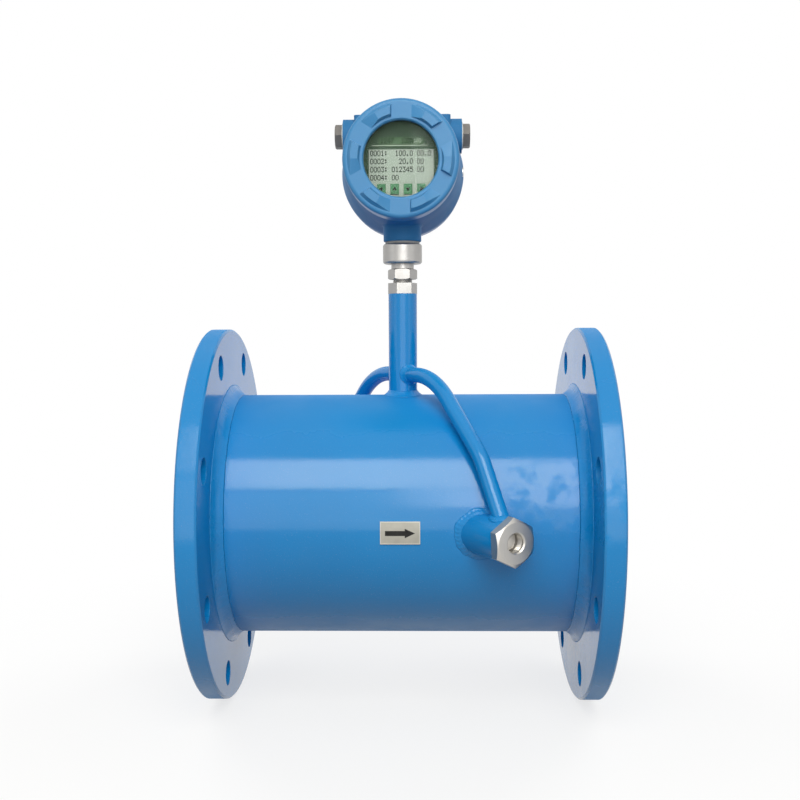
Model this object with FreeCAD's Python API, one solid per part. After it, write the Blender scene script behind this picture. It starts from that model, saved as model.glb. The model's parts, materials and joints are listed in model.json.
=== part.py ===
import FreeCAD, Part
import math
import os

# Inline ultrasonic flow meter: a flanged steel measuring tube with two slanting transducer ports,
# a stem, two bent cable conduits and a swivelling transmitter head. Millimetres.
# Origin: on the tube's axis, at mid length and under the stem.
# +X runs with the flow, -Y faces the reader of the display, +Z points up.

# Measuring tube and flanges
face_to_face = 350.0
pipe_od = 219.1
pipe_wall = 6.3
pipe_setback = 6.0
flange_od = 340.0
flange_thickness = 18.0
flange_slip = 0.4
flange_edge_break = 1.5
bolt_edge_distance = 22.5
bolt_hole_d = 22.0
bolt_count = 8
sealing_grooves = 3
groove_first_d = 238.0
groove_pitch = 5.0
groove_width = 1.6
groove_depth = 0.8
outer_weld_leg = 10.0
inner_weld_leg = 5.0

# Transducer ports, in the horizontal plane through the tube's axis
port_angle = 58.0
port_standout = 43.8
port_boss_od = 35.6
port_bore_d = 25.0
port_nose_d = 19.0
port_seat_rise = 6.8
port_weld_radius = 5.0
nose_recess = 0.4
fit_gap = 0.2
transducer_collar_length = 6.0
transducer_seal_thickness = 1.5
sleeve_wall = 3.5
sleeve_slot = 9.0
cable_hole_d = 7.0
cable_hole_setback = 13.5
cap_flats = 36.0
cap_hex_height = 9.0
cap_corner_chamfer = 3.9
cap_turn = 5.4
cap_thread_length = 8.0
cap_socket_d = 15.7
cap_socket_depth = 12.0
cap_mouth_chamfer = 1.0

# Stem and cable conduits
stem_od = 26.0
stem_wall = 3.0
stem_length = 91.9
stem_weld_radius = 5.0
conduit_od = 13.5
conduit_wall = 2.0
conduit_rise = 18.75
conduit_first_corner = 52.8
conduit_first_bend = 75.0
conduit_drop = 64.7
conduit_second_setback = 39.3
conduit_second_bend = 60.0
conduit_foot_setback = 1.1
conduit_weld_radius = 3.6
cable_d = 2.5
cable_spacing = 5.0
cable_bend = 7.5
cable_rise_bend = 10.0
plug_connector_d = 11.0
plug_connector_length = 14.0
plug_connector_rise = 6.0
plug_nose_d = 8.0
plug_nose_length = 3.0

# Flow direction plate, riding on the front of the tube
plate_length = 33.2
plate_height = 19.0
plate_thickness = 0.8
plate_glue = 0.1
plate_tilt = 0.7
plate_offset = -0.9

# Stainless fittings between stem and head
hex_flats = 23.0
adapter_hex_height = 9.7
adapter_thread_length = 14.0
adapter_spigot_d = 16.5
adapter_bore_d = 10.0
adapter_gap = 3.2
lock_nut_height = 9.1
running_gap = 0.05
part_gap = 0.3
neck_d = 20.5
neck_height = 4.7
collar_d = 35.4
collar_height = 18.2
collar_bore_d = 14.0
collar_edge_round = 2.6
collar_thread_d = 22.0
collar_thread_length = 14.0
collar_gasket_d = 31.0
collar_gasket_thickness = 1.7
spigot_into_collar = 15.0
swivel_seal_width = 2.2
swivel_seal_depth = 1.4
swivel_seal_setback = 3.0

# Transmitter housing; its axis runs along Y
head_axis_rise = 65.0
housing_neck_d = 34.2
housing_neck_round = 1.2
housing_neck_blend = 3.0
housing_drum_d = 113.4
housing_rear_step = 1.45
housing_front_y = -33.0
housing_drum_y = 34.0
housing_shoulder_y = 44.0
housing_rear_y = 46.0
front_spigot_d = 90.0
front_cavity_d = 82.0
front_cavity_end_y = 10.0
rear_cavity_start_y = 14.0
rear_cover_inset = 0.7
rear_cover_wall = 4.5
rear_spigot_wall = 3.5
rear_spigot_length = 10.0
entry_y = 28.0
entry_drop = 23.3
entry_boss_d = 31.0
entry_face_inset = 2.2
entry_bore_d = 20.0
shoulder_inset = 12.7
shoulder_drop = 6.4
shoulder_length = 31.0
shoulder_depth = 34.0
shoulder_round = 3.0
ground_recess_d = 11.0
ground_seat_inset = 2.9
ground_screw_y = 22.0
ground_screw_head_d = 8.5
ground_screw_head_height = 2.4
ground_screw_shank_d = 5.0
ground_screw_length = 4.0
ground_screw_round = 0.8
slot_width = 0.9
slot_depth = 0.8

# Covers
front_cover_d = 100.0
front_cover_y = -56.0
rear_cover_y = 71.0
cover_edge_round = 3.5
cover_end_wall = 5.5
window_d = 64.0
window_chamfer = 1.2
glass_d = 74.0
glass_thickness = 4.0
window_gasket_thickness = 0.8
retaining_ring_d = 77.0
retaining_ring_bore = 66.0
retaining_ring_thickness = 2.4
spanner_hole_d = 2.0
cover_seal_width = 2.4
cover_seal_height = 2.3
wrench_pads = 6
pad_height = 3.5
pad_first_slot = 30.0
pad_slot_width = 15.4
pad_steep_run = 1.0
pad_top_end = 30.8
pad_base_inner_r = 34.8
pad_base_outer_r = 46.2
pad_inner_draft = 1.9
pad_outer_draft = 3.2
rear_pad_shift = 5.0

# Entry plugs
plug_flats = 20.0
plug_hex_height = 6.6
plug_washer_thickness = 1.0
plug_washer_d = 24.0
plug_thread_length = 10.0

# Display stack, front to back
faceplate_d = 80.0
faceplate_y = -38.0
faceplate_thickness = 2.0
lcd_width = 56.5
lcd_top = 10.6
lcd_gap = 0.2
lcd_glass_recess = 0.3
lcd_frame = 2.0
lcd_key_gap = 1.2
board_y = -31.0
board_thickness = 1.6
board_d = 78.0
key_width = 7.1
key_height = 8.8
key_pitch = 11.55
key_rise = -23.3
key_gap = 0.25
key_proud = 1.2
key_travel = 0.6
key_round = 0.5
key_flange = 0.9
key_flange_thickness = 1.0
switch_size = 6.0
switch_button_d = 3.2
switch_button_height = 0.8
fixing_radius = 36.0
fixing_first_angle = 45.0
spacer_d = 5.6
screw_head_d = 5.0
screw_head_height = 1.6
screw_shank_d = 2.6
main_board_y = -10.0
main_board_clearance = 4.0
relay_block = (24.0, 8.0, 16.0)

# Terminal block in the rear compartment
terminal_count = 6
terminal_pitch = 8.5
terminal_block_depth = 13.0
terminal_block_height = 16.0
terminal_screw_d = 4.4
terminal_screw_height = 2.4
terminal_screw_rise = 3.5
terminal_well = 4.0
terminal_end = 2.0
wire_hole = 3.8
wire_hole_back = 3.0
terminal_drop = -6.0

# Worked out from the sizes above
bolt_circle = flange_od - 2 * bolt_edge_distance
pipe_r = pipe_od / 2
pipe_inner_r = pipe_r - pipe_wall
pipe_end = face_to_face / 2 - pipe_setback
angle = math.radians(port_angle)
port_reach = pipe_r / math.sin(angle) + port_standout
boss_end = port_reach - cap_hex_height
port_seat = pipe_r / math.sin(angle) + port_seat_rise
nose_r = port_nose_d / 2 - fit_gap
nose_face = (pipe_inner_r + nose_r * math.cos(angle)) / math.sin(angle) + nose_recess
transducer_rear = port_seat + transducer_seal_thickness + transducer_collar_length
cap_thread_end = boss_end - cap_thread_length
cable_hole_s = boss_end - cable_hole_setback
conduit_height = pipe_r + conduit_rise
stem_top = pipe_r + stem_length
adapter_top = stem_top + adapter_hex_height
lock_nut_z = adapter_top + adapter_gap
neck_z = lock_nut_z + lock_nut_height + part_gap
collar_z = neck_z + neck_height - part_gap
collar_top = collar_z + collar_height
housing_z = collar_top + collar_gasket_thickness
head_z = housing_z + head_axis_rise
drum_r = housing_drum_d / 2
housing_rear_d = housing_drum_d - 2 * housing_rear_step
rear_cover_d = housing_drum_d - 2 * rear_cover_inset
rear_spigot_d = rear_cover_d - 2 * rear_cover_wall
rear_cavity_d = rear_spigot_d - 2 * rear_spigot_wall
entry_rise = drum_r - entry_drop
entry_face_x = drum_r - entry_face_inset
shoulder_half_width = drum_r - shoulder_inset
shoulder_top = drum_r - shoulder_drop
ground_seat_x = drum_r - ground_seat_inset
main_board_d = front_cavity_d - 2 * main_board_clearance
cover_rim_y = housing_front_y - part_gap
rear_rim_y = housing_rear_y + part_gap
glass_y = front_cover_y + cover_end_wall + window_gasket_thickness
ring_y = glass_y + glass_thickness
skirt_start_y = ring_y + retaining_ring_thickness + part_gap
front_spigot_y = skirt_start_y + part_gap
lcd_low = key_rise + key_height / 2 + lcd_key_gap

X = FreeCAD.Vector(1, 0, 0)
Y = FreeCAD.Vector(0, 1, 0)
Z = FreeCAD.Vector(0, 0, 1)
ORIGIN = FreeCAD.Vector(0, 0, 0)
HEAD = FreeCAD.Vector(0, 0, head_z)
PORT = FreeCAD.Vector(math.cos(angle), -math.sin(angle), 0)


def placed(shape, base, axis, turn=0.0):
    """Turn a shape built along Z about Z, lay it along axis and move it to base."""
    laid = FreeCAD.Rotation(Z, axis) * FreeCAD.Rotation(Z, turn)
    moved = shape.copy()
    moved.Placement = FreeCAD.Placement(base, laid)
    return moved


def rod(diameter, start, end, base=ORIGIN, axis=Z):
    """A cylinder between two distances along an axis through base."""
    return placed(Part.makeCylinder(diameter / 2, end - start), base + axis * start, axis)


def tube(outer_d, inner_d, start, end, base=ORIGIN, axis=Z):
    return rod(outer_d, start, end, base, axis).cut(rod(inner_d, start - 1, end + 1, base, axis))


def turned(profile, base=ORIGIN, axis=Z):
    """Revolve a closed outline of (radius, distance along the axis) points."""
    points = [FreeCAD.Vector(r, 0, a) for r, a in profile]
    face = Part.Face(Part.makePolygon(points + points[:1]))
    return placed(face.revolve(ORIGIN, Z, 360), base, axis)


def hexagon(flats, height, base, axis=Z, turn=0.0, chamfer=0.0, both_ends=True):
    """A hexagonal bar whose corners are turned off at its far end, or at both."""
    corner_r = flats / math.sqrt(3)
    corners = [FreeCAD.Vector(corner_r * math.cos(math.radians(60 * i)),
                              corner_r * math.sin(math.radians(60 * i)), 0) for i in range(7)]
    bar = Part.Face(Part.makePolygon(corners)).extrude(Z * height)
    if chamfer > 0:
        drop = chamfer * 0.58
        start = [(0, 0), (corner_r - chamfer, 0), (corner_r, drop)]
        if not both_ends:
            start = [(0, 0), (corner_r, 0)]
        end = [(corner_r, height - drop), (corner_r - chamfer, height), (0, height)]
        bar = bar.common(turned(start + end))
    return placed(bar, base, axis, turn)


def box(x, y, z, base=ORIGIN):
    """A block between pairs of limits, measured from base."""
    corner = base + FreeCAD.Vector(x[0], y[0], z[0])
    return Part.makeBox(x[1] - x[0], y[1] - y[0], z[1] - z[0], corner)


def ring_edges(shape, radius, centre):
    """The circular edges of a shape that have this radius and centre."""
    found = []
    for edge in shape.Edges:
        if isinstance(edge.Curve, Part.Circle):
            if abs(edge.Curve.Radius - radius) < 1e-4 and (edge.Curve.Center - centre).Length < 1e-4:
                found.append(edge)
    return found


def distance_to_axis(point, base, axis):
    return (point - base).cross(axis).Length


def fillet_weld(main, main_axis, main_r, branch, branch_axis, branch_base, branch_r, radius):
    """The metal that fills the corner where a round branch meets a round main pipe."""
    joined = main.fuse(branch)
    seam = []
    for edge in joined.Edges:
        points = edge.discretize(5)
        on_main = all(abs(distance_to_axis(p, ORIGIN, main_axis) - main_r) < 1e-3 for p in points)
        on_branch = all(abs(distance_to_axis(p, branch_base, branch_axis) - branch_r) < 1e-3 for p in points)
        if on_main and on_branch:
            seam.append(edge)
    return joined.makeFillet(radius, seam).cut(main).cut(branch)


def rear_copy(shape):
    """The same piece for the rear port: half a turn about the stem."""
    copied = shape.copy()
    copied.rotate(ORIGIN, Z, 180)
    return copied


def port_point(s, z=0.0):
    """A point in the upright plane through the stem and the front port."""
    return PORT * s + Z * z


# Measuring tube

def measuring_tube():
    body = tube(pipe_od, pipe_inner_r * 2, -pipe_end, pipe_end, axis=X)
    for direction in (PORT, PORT * -1):
        body = body.cut(rod(port_nose_d, pipe_inner_r / 2, boss_end, axis=direction))
        body = body.cut(rod(port_bore_d, port_seat, boss_end, axis=direction))
    return body


def sealing_groove_profile(diameter):
    r = diameter / 2
    return [(r, -groove_depth), (r + groove_width, 1.0), (r - groove_width, 1.0)]


def flange():
    """Flange as turned, with its sealing face at height 0 and its hub side below."""
    outer = flange_od / 2
    inner = pipe_r + flange_slip
    edge = flange_edge_break
    disc = turned([(inner, 0), (outer - edge, 0), (outer, -edge), (outer, edge - flange_thickness),
                   (outer - edge, -flange_thickness), (inner, -flange_thickness)])
    for i in range(sealing_grooves):
        disc = disc.cut(turned(sealing_groove_profile(groove_first_d + 2 * groove_pitch * i)))
    for i in range(bolt_count):
        hole_angle = 2 * math.pi * (i + 0.5) / bolt_count
        centre = FreeCAD.Vector(math.cos(hole_angle), math.sin(hole_angle), 0) * (bolt_circle / 2)
        disc = disc.cut(rod(bolt_hole_d, -flange_thickness - 1, 1, base=centre))
    return disc


def flange_weld():
    """Two weld beads: on the hub side, and inside the bore at the pipe's end."""
    bore = pipe_r + flange_slip
    hub = turned([(pipe_r, -flange_thickness), (pipe_r, -flange_thickness - outer_weld_leg),
                  (pipe_r + outer_weld_leg * 0.45, -flange_thickness - outer_weld_leg * 0.62),
                  (pipe_r + outer_weld_leg, -flange_thickness)])
    inside = turned([(bore, -pipe_setback), (bore - inner_weld_leg, -pipe_setback),
                     (bore, inner_weld_leg - pipe_setback)])
    return Part.makeCompound([hub, inside])


def at_flange(shape, side):
    return placed(shape, X * (side * face_to_face / 2), X * side)


# Transducer ports

def port_boss():
    body = rod(port_boss_od, pipe_r / 2, boss_end, axis=PORT)
    body = body.cut(rod(pipe_od, -face_to_face, face_to_face, axis=X))
    body = body.cut(rod(port_nose_d, 0, boss_end, axis=PORT))
    body = body.cut(rod(port_bore_d, port_seat, boss_end + 1, axis=PORT))
    return body.cut(rod(cable_hole_d, 0, port_boss_od, base=port_point(cable_hole_s)))


def port_weld():
    main = rod(pipe_od, -face_to_face / 2, face_to_face / 2, axis=X)
    branch = rod(port_boss_od, pipe_r / 2, boss_end, axis=PORT)
    return fillet_weld(main, X, pipe_r, branch, PORT, ORIGIN, port_boss_od / 2, port_weld_radius)


def transducer():
    collar_start = port_seat + transducer_seal_thickness
    body = rod(2 * nose_r, nose_face, transducer_rear, axis=PORT)
    collar = rod(port_bore_d - 2 * fit_gap, collar_start, transducer_rear, axis=PORT)
    return body.fuse(collar).removeSplitter()


def transducer_seal():
    outer_d = port_bore_d - 2 * fit_gap
    return tube(outer_d, port_nose_d, port_seat, port_seat + transducer_seal_thickness, axis=PORT)


def thrust_sleeve():
    """Tube that passes the cap's push on to the transducer, slotted on top for the cable."""
    outer = port_bore_d - 2 * fit_gap
    body = tube(outer, outer - 2 * sleeve_wall, transducer_rear, cap_thread_end, axis=PORT)
    slot = box((-sleeve_slot / 2, sleeve_slot / 2), (0, cap_thread_end - transducer_rear), (0, port_bore_d))
    slot = slot.cut(box((-sleeve_slot, sleeve_slot), (-1, sleeve_wall * 0.5), (-1, port_bore_d)))
    slot.rotate(ORIGIN, Z, math.degrees(math.atan2(PORT.y, PORT.x)) - 90)
    slot.translate(PORT * transducer_rear)
    return body.cut(slot)


def port_cap():
    """Hexagonal plug with a plain spigot for its thread and a tapped socket in its face."""
    body = hexagon(cap_flats, cap_hex_height, PORT * boss_end, PORT, turn=cap_turn,
                   chamfer=cap_corner_chamfer, both_ends=False)
    body = body.fuse(rod(port_bore_d - 2 * fit_gap, cap_thread_end, boss_end, axis=PORT))
    r = cap_socket_d / 2
    depth = cap_socket_depth
    socket = turned([(0, -depth - r * 0.3), (r, -depth), (r, -cap_mouth_chamfer),
                     (r + cap_mouth_chamfer, 0), (r + cap_mouth_chamfer, 1), (0, 1)], PORT * port_reach, PORT)
    return body.cut(socket)


# Stem and conduits

def stem_tube():
    body = tube(stem_od, stem_od - 2 * stem_wall, 0, stem_top)
    body = body.cut(rod(pipe_od, -stem_od, stem_od, axis=X))
    hole_d = conduit_od - 2 * conduit_wall
    for direction in (PORT, PORT * -1):
        body = body.cut(rod(hole_d, 0, stem_od, base=Z * conduit_height, axis=direction))
    return body


def stem_weld():
    main = rod(pipe_od, -stem_od * 2, stem_od * 2, axis=X)
    branch = rod(stem_od, 0, stem_top)
    return fillet_weld(main, X, pipe_r, branch, Z, ORIGIN, stem_od / 2, stem_weld_radius)


def bent_path(corners, bends):
    """Straight runs through (s, z) corners, joined by arcs of the given radii."""
    points = [port_point(s, z) for s, z in corners]
    edges = []
    start = points[0]
    for i, bend in enumerate(bends):
        before = (points[i + 1] - points[i]).normalize()
        after = (points[i + 2] - points[i + 1]).normalize()
        turn = before.getAngle(after)
        reach = bend * math.tan(turn / 2)
        arc_start = points[i + 1] - before * reach
        arc_end = points[i + 1] + after * reach
        towards_centre = (after - before).normalize()
        centre = points[i + 1] + towards_centre * (bend / math.cos(turn / 2))
        middle = centre - towards_centre * bend
        edges.append(Part.LineSegment(start, arc_start).toShape())
        edges.append(Part.Arc(arc_start, middle, arc_end).toShape())
        start = arc_end
    edges.append(Part.LineSegment(start, points[-1]).toShape())
    return Part.Wire(edges)


def swept(path, diameter):
    start = path.OrderedVertexes[0].Point
    heading = path.OrderedEdges[0].tangentAt(path.OrderedEdges[0].FirstParameter)
    profile = Part.Wire([Part.makeCircle(diameter / 2, start, heading)])
    return path.makePipeShell([profile], True, True)


def conduit_corners():
    shoulder = (boss_end - conduit_second_setback, conduit_height - conduit_drop)
    return [(conduit_first_corner, conduit_height), shoulder, (boss_end - conduit_foot_setback, 0)]


def conduit():
    path = bent_path([(0, conduit_height)] + conduit_corners(), [conduit_first_bend, conduit_second_bend])
    body = swept(path, conduit_od)
    body = body.cut(rod(stem_od, 0, stem_top))
    body = body.cut(rod(port_boss_od, 0, boss_end + conduit_od, axis=PORT))
    bore = swept(path, conduit_od - 2 * conduit_wall)
    pieces = sorted(body.cut(bore).Solids, key=lambda solid: solid.Volume)
    return pieces[-1]


def conduit_welds():
    corners = conduit_corners()
    foot = port_point(corners[2][0], corners[2][1])
    slope = (port_point(corners[1][0], corners[1][1]) - foot).normalize()
    leg = rod(conduit_od, 0, port_boss_od, base=foot, axis=slope)
    arm = rod(conduit_od, 0, stem_od, base=Z * conduit_height, axis=PORT)
    stem = rod(stem_od, conduit_height - stem_od, conduit_height + stem_od)
    boss = rod(port_boss_od, boss_end - 2 * port_boss_od, boss_end, axis=PORT)
    conduit_r = conduit_od / 2
    top = fillet_weld(stem, Z, stem_od / 2, arm, PORT, Z * conduit_height, conduit_r, conduit_weld_radius)
    low = fillet_weld(boss, PORT, port_boss_od / 2, leg, slope, foot, conduit_r, conduit_weld_radius)
    return Part.makeCompound([top, low])


def signal_cable():
    """Coaxial lead from its connector down the stem and through the conduit to the transducer."""
    corners = conduit_corners()
    shoulder = corners[1]
    foot = corners[2]
    rise = (shoulder[1] - foot[1]) / (shoulder[0] - foot[0])
    turn_z = foot[1] + rise * (cable_hole_s - foot[0])
    up_s = cable_spacing / 2
    top = collar_top + plug_connector_rise
    route = [(up_s, top), (up_s, conduit_height), corners[0], shoulder,
             (cable_hole_s, turn_z), (cable_hole_s, 0), (transducer_rear, 0)]
    bends = [cable_bend, conduit_first_bend, conduit_second_bend, cable_rise_bend, cable_bend]
    return swept(bent_path(route, bends), cable_d)


def signal_plug():
    start = collar_top + plug_connector_rise
    end = start + plug_connector_length
    step = end - plug_nose_length
    return turned([(0, start), (plug_connector_d / 2, start), (plug_connector_d / 2, step),
                   (plug_nose_d / 2, step), (plug_nose_d / 2, end), (0, end)])


def flow_arrow_plate():
    inner_d = pipe_od + 2 * plate_glue
    shell = tube(inner_d + 2 * plate_thickness, inner_d, plate_offset - plate_length / 2,
                 plate_offset + plate_length / 2, axis=X)
    half = math.degrees(plate_height / 2 / pipe_r)
    reach = pipe_od
    corners = [ORIGIN]
    for edge_angle in (-half, half):
        tilt = math.radians(edge_angle + plate_tilt)
        corners.append(FreeCAD.Vector(0, -math.cos(tilt), math.sin(tilt)) * reach)
    wedge = Part.Face(Part.makePolygon(corners + corners[:1])).extrude(X * plate_length * 2)
    wedge.translate(X * (plate_offset - plate_length))
    return shell.common(wedge)


# Swivel fittings

def stem_adapter():
    body = hexagon(hex_flats, adapter_hex_height, Z * stem_top, turn=8)
    body = body.fuse(rod(stem_od - 2 * stem_wall - 2 * fit_gap, stem_top - adapter_thread_length, stem_top))
    spigot_top = neck_z + spigot_into_collar
    body = body.fuse(rod(adapter_spigot_d, adapter_top, spigot_top))
    groove_z = spigot_top - swivel_seal_setback - swivel_seal_width
    groove = tube(adapter_spigot_d + 2, adapter_spigot_d - 2 * swivel_seal_depth, groove_z,
                  groove_z + swivel_seal_width)
    return body.cut(groove).cut(rod(adapter_bore_d, 0, spigot_top + 1))


def swivel_seal():
    groove_z = neck_z + spigot_into_collar - swivel_seal_setback - swivel_seal_width
    inner_d = adapter_spigot_d - 2 * swivel_seal_depth
    return tube(adapter_spigot_d, inner_d, groove_z, groove_z + swivel_seal_width)


def lock_nut():
    body = hexagon(hex_flats, lock_nut_height, Z * lock_nut_z, turn=0, chamfer=1.4)
    return body.cut(rod(adapter_spigot_d + 2 * running_gap, 0, neck_z))


def head_collar():
    socket_r = adapter_spigot_d / 2 + running_gap
    socket_top = neck_z + spigot_into_collar + part_gap
    body = turned([(socket_r, neck_z), (neck_d / 2, neck_z), (neck_d / 2, collar_z), (collar_d / 2, collar_z),
                   (collar_d / 2, collar_top), (collar_thread_d / 2 - fit_gap, collar_top),
                   (collar_thread_d / 2 - fit_gap, collar_top + collar_thread_length),
                   (collar_bore_d / 2, collar_top + collar_thread_length),
                   (collar_bore_d / 2, socket_top), (socket_r, socket_top)])
    rims = ring_edges(body, collar_d / 2, Z * collar_z) + ring_edges(body, collar_d / 2, Z * collar_top)
    return body.makeFillet(collar_edge_round, rims)


def collar_gasket():
    return tube(collar_gasket_d, collar_thread_d, collar_top, housing_z)


# Transmitter housing and covers

def housing_outline():
    rear_spigot_y = housing_rear_y + rear_spigot_length
    return [(0, front_spigot_y), (front_spigot_d / 2, front_spigot_y), (front_spigot_d / 2, housing_front_y),
            (front_cover_d / 2, housing_front_y), (drum_r, housing_drum_y),
            (drum_r, housing_shoulder_y), (housing_rear_d / 2, housing_rear_y),
            (rear_spigot_d / 2, housing_rear_y), (rear_spigot_d / 2, rear_spigot_y), (0, rear_spigot_y)]


def on_neck_side(edge):
    """True for the closed seam where the neck runs into the drum."""
    ends = (edge.FirstParameter, (edge.FirstParameter + edge.LastParameter) / 2)
    points = [edge.valueAt(at) for at in ends]
    return all(abs(math.hypot(point.x, point.y) - housing_neck_d / 2) < 0.01
               and housing_z + housing_neck_round + 1 < point.z < head_z for point in points)


def transmitter_housing():
    body = turned(housing_outline(), HEAD, Y)
    neck = rod(housing_neck_d, housing_z, head_z)
    neck = neck.makeFillet(housing_neck_round, ring_edges(neck, housing_neck_d / 2, Z * housing_z))
    body = body.fuse(neck)
    seam = [edge for edge in body.Edges if on_neck_side(edge)]
    body = body.makeFillet(housing_neck_blend, seam)
    shoulders = box((-shoulder_half_width, shoulder_half_width),
                    (entry_y - shoulder_length / 2, entry_y + shoulder_length / 2),
                    (shoulder_top - shoulder_depth, shoulder_top), HEAD)
    uprights = [edge for edge in shoulders.Edges if abs(edge.tangentAt(0).z) > 0.9]
    shoulders = shoulders.makeFillet(shoulder_round, uprights)
    entry_axis = HEAD + Y * entry_y + Z * entry_rise
    entries = rod(entry_boss_d, -entry_face_x, entry_face_x, entry_axis, X)
    ground_axis = HEAD + Y * ground_screw_y
    body = body.multiFuse([shoulders, entries])
    front = rod(front_cavity_d, front_spigot_y - 1, front_cavity_end_y, HEAD, Y)
    rear = rod(rear_cavity_d, rear_cavity_start_y, housing_rear_y + rear_spigot_length + 1, HEAD, Y)
    entry_bores = rod(entry_bore_d, -entry_face_x - 1, entry_face_x + 1, entry_axis, X)
    thread = rod(collar_thread_d, housing_z - 1, collar_top + collar_thread_length + fit_gap)
    passage = rod(collar_bore_d, housing_z, head_z)
    ground_recess = rod(ground_recess_d, ground_seat_x, drum_r, ground_axis, X)
    ground_hole = rod(ground_screw_shank_d, ground_seat_x - ground_screw_length - part_gap,
                      ground_seat_x + 1, ground_axis, X)
    for hollow in (front, rear, entry_bores, thread, passage, ground_recess, ground_hole):
        body = body.cut(hollow)
    return body.removeSplitter()


def slot_side_angle(radius, offset):
    """Angle, seen from the cover's axis, of a line that runs beside a slot's middle."""
    return math.asin(offset / radius)


def pad_wire(inner_r, outer_r, near, far, height):
    """Closed outline of a grip pad; near and far give its end angles at a radius."""

    def at(radius, at_angle):
        return FreeCAD.Vector(radius * math.cos(at_angle), radius * math.sin(at_angle), height)

    def arc(radius):
        first, last = near(radius), far(radius)
        return at(radius, first), at(radius, (first + last) / 2), at(radius, last)

    inner, outer = arc(inner_r), arc(outer_r)
    return Part.Wire([Part.LineSegment(inner[0], outer[0]).toShape(), Part.Arc(*outer).toShape(),
                      Part.LineSegment(outer[2], inner[2]).toShape(), Part.Arc(*inner[::-1]).toShape()])


def wrench_pad(shift):
    """One grip pad: a steep end, drafted sides and a long ramp, standing up from height 0."""
    inner_r = pad_base_inner_r + shift
    outer_r = pad_base_outer_r + shift
    pitch = 2 * math.pi / wrench_pads
    half = pad_slot_width / 2
    base = pad_wire(inner_r, outer_r, lambda r: slot_side_angle(r, half),
                    lambda r: pitch - slot_side_angle(r, half), -0.5)
    top = pad_wire(inner_r + pad_inner_draft, outer_r - pad_outer_draft,
                   lambda r: slot_side_angle(r, half + pad_steep_run),
                   lambda r: math.radians(pad_top_end), pad_height)
    return Part.makeLoft([base, top], True, True)


def cover_blank(diameter, length, end_wall, skirt_d, seal_d, seal_start):
    """A cover as turned, its face at height 0 and its open skirt below."""
    r = diameter / 2
    body = turned([(0, 0), (r, 0), (r, -length), (seal_d / 2, -length), (seal_d / 2, -seal_start),
                   (skirt_d / 2, -seal_start), (skirt_d / 2, -end_wall), (0, -end_wall)])
    return body.makeFillet(cover_edge_round, ring_edges(body, r, ORIGIN))


def with_pads(blank, shift):
    pads = []
    for i in range(wrench_pads):
        pad = wrench_pad(shift)
        pad.rotate(ORIGIN, Z, pad_first_slot + 360 / wrench_pads * i)
        pads.append(pad)
    return blank.multiFuse(pads).removeSplitter()


def seal_groove_d(spigot_d):
    return spigot_d + 2 * cover_seal_height + 4 * running_gap


def front_cover():
    length = cover_rim_y - front_cover_y
    skirt_d = front_spigot_d + 2 * running_gap
    seal_start = length - cover_seal_width - 2 * running_gap
    blank = cover_blank(front_cover_d, length, skirt_start_y - front_cover_y, skirt_d,
                        seal_groove_d(front_spigot_d), seal_start)
    body = with_pads(blank, 0)
    r = window_d / 2
    window = turned([(0, 1), (r + window_chamfer + 1, 1), (r, -window_chamfer), (r, -cover_end_wall),
                     (retaining_ring_d / 2, -cover_end_wall), (retaining_ring_d / 2, -length), (0, -length)])
    return placed(body.cut(window), HEAD + Y * front_cover_y, Y * -1, turn=180)


def rear_cover():
    length = rear_cover_y - rear_rim_y
    skirt_d = rear_spigot_d + 2 * running_gap
    seal_start = length - cover_seal_width - 2 * running_gap
    blank = cover_blank(rear_cover_d, length, cover_end_wall, skirt_d,
                        seal_groove_d(rear_spigot_d), seal_start)
    return placed(with_pads(blank, rear_pad_shift), HEAD + Y * rear_cover_y, Y)


def cover_seal(spigot_d, start, end):
    inner = spigot_d + 2 * running_gap
    return tube(inner + 2 * cover_seal_height, inner, start, end, HEAD, Y)


def front_cover_seal():
    return cover_seal(front_spigot_d, cover_rim_y - cover_seal_width, cover_rim_y)


def rear_cover_seal():
    return cover_seal(rear_spigot_d, rear_rim_y, rear_rim_y + cover_seal_width)


def window_gasket():
    return tube(glass_d, window_d, glass_y - window_gasket_thickness, glass_y, HEAD, Y)


def window_glass():
    return rod(glass_d, glass_y, ring_y, HEAD, Y)


def glass_retaining_ring():
    end = ring_y + retaining_ring_thickness
    body = tube(retaining_ring_d - 2 * fit_gap, retaining_ring_bore, ring_y, end, HEAD, Y)
    middle = (retaining_ring_d + retaining_ring_bore) / 4
    for side in (-1, 1):
        body = body.cut(rod(spanner_hole_d, ring_y + 1, end + 1, HEAD + X * (side * middle), Y))
    return body


# Entry plugs and ground screw

def entry_plug(side):
    centre = HEAD + Y * entry_y + Z * entry_rise
    seat = entry_face_x + plug_washer_thickness
    body = hexagon(plug_flats, plug_hex_height, centre + X * (side * seat), X * side, turn=30, chamfer=1.6,
                   both_ends=False)
    spigot = rod(entry_bore_d - 2 * fit_gap, entry_face_x - plug_thread_length, seat, centre, X * side)
    return body.fuse(spigot)


def entry_washer(side):
    centre = HEAD + Y * entry_y + Z * entry_rise
    end = entry_face_x + plug_washer_thickness
    return tube(plug_washer_d, entry_bore_d, entry_face_x, end, centre, X * side)


def ground_screw():
    base = HEAD + Y * ground_screw_y
    top = ground_seat_x + ground_screw_head_height
    head = rod(ground_screw_head_d, ground_seat_x, top, base, X)
    head = head.makeFillet(ground_screw_round, ring_edges(head, ground_screw_head_d / 2, base + X * top))
    slot = box((top - slot_depth, top + 1), (-slot_width / 2, slot_width / 2),
               (-ground_screw_head_d, ground_screw_head_d), base)
    shank = rod(ground_screw_shank_d, ground_seat_x - ground_screw_length, ground_seat_x, base, X)
    return head.cut(slot).fuse(shank)


# Display

def key_centres():
    return [(key_pitch * (i - 1.5), key_rise) for i in range(4)]


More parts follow.
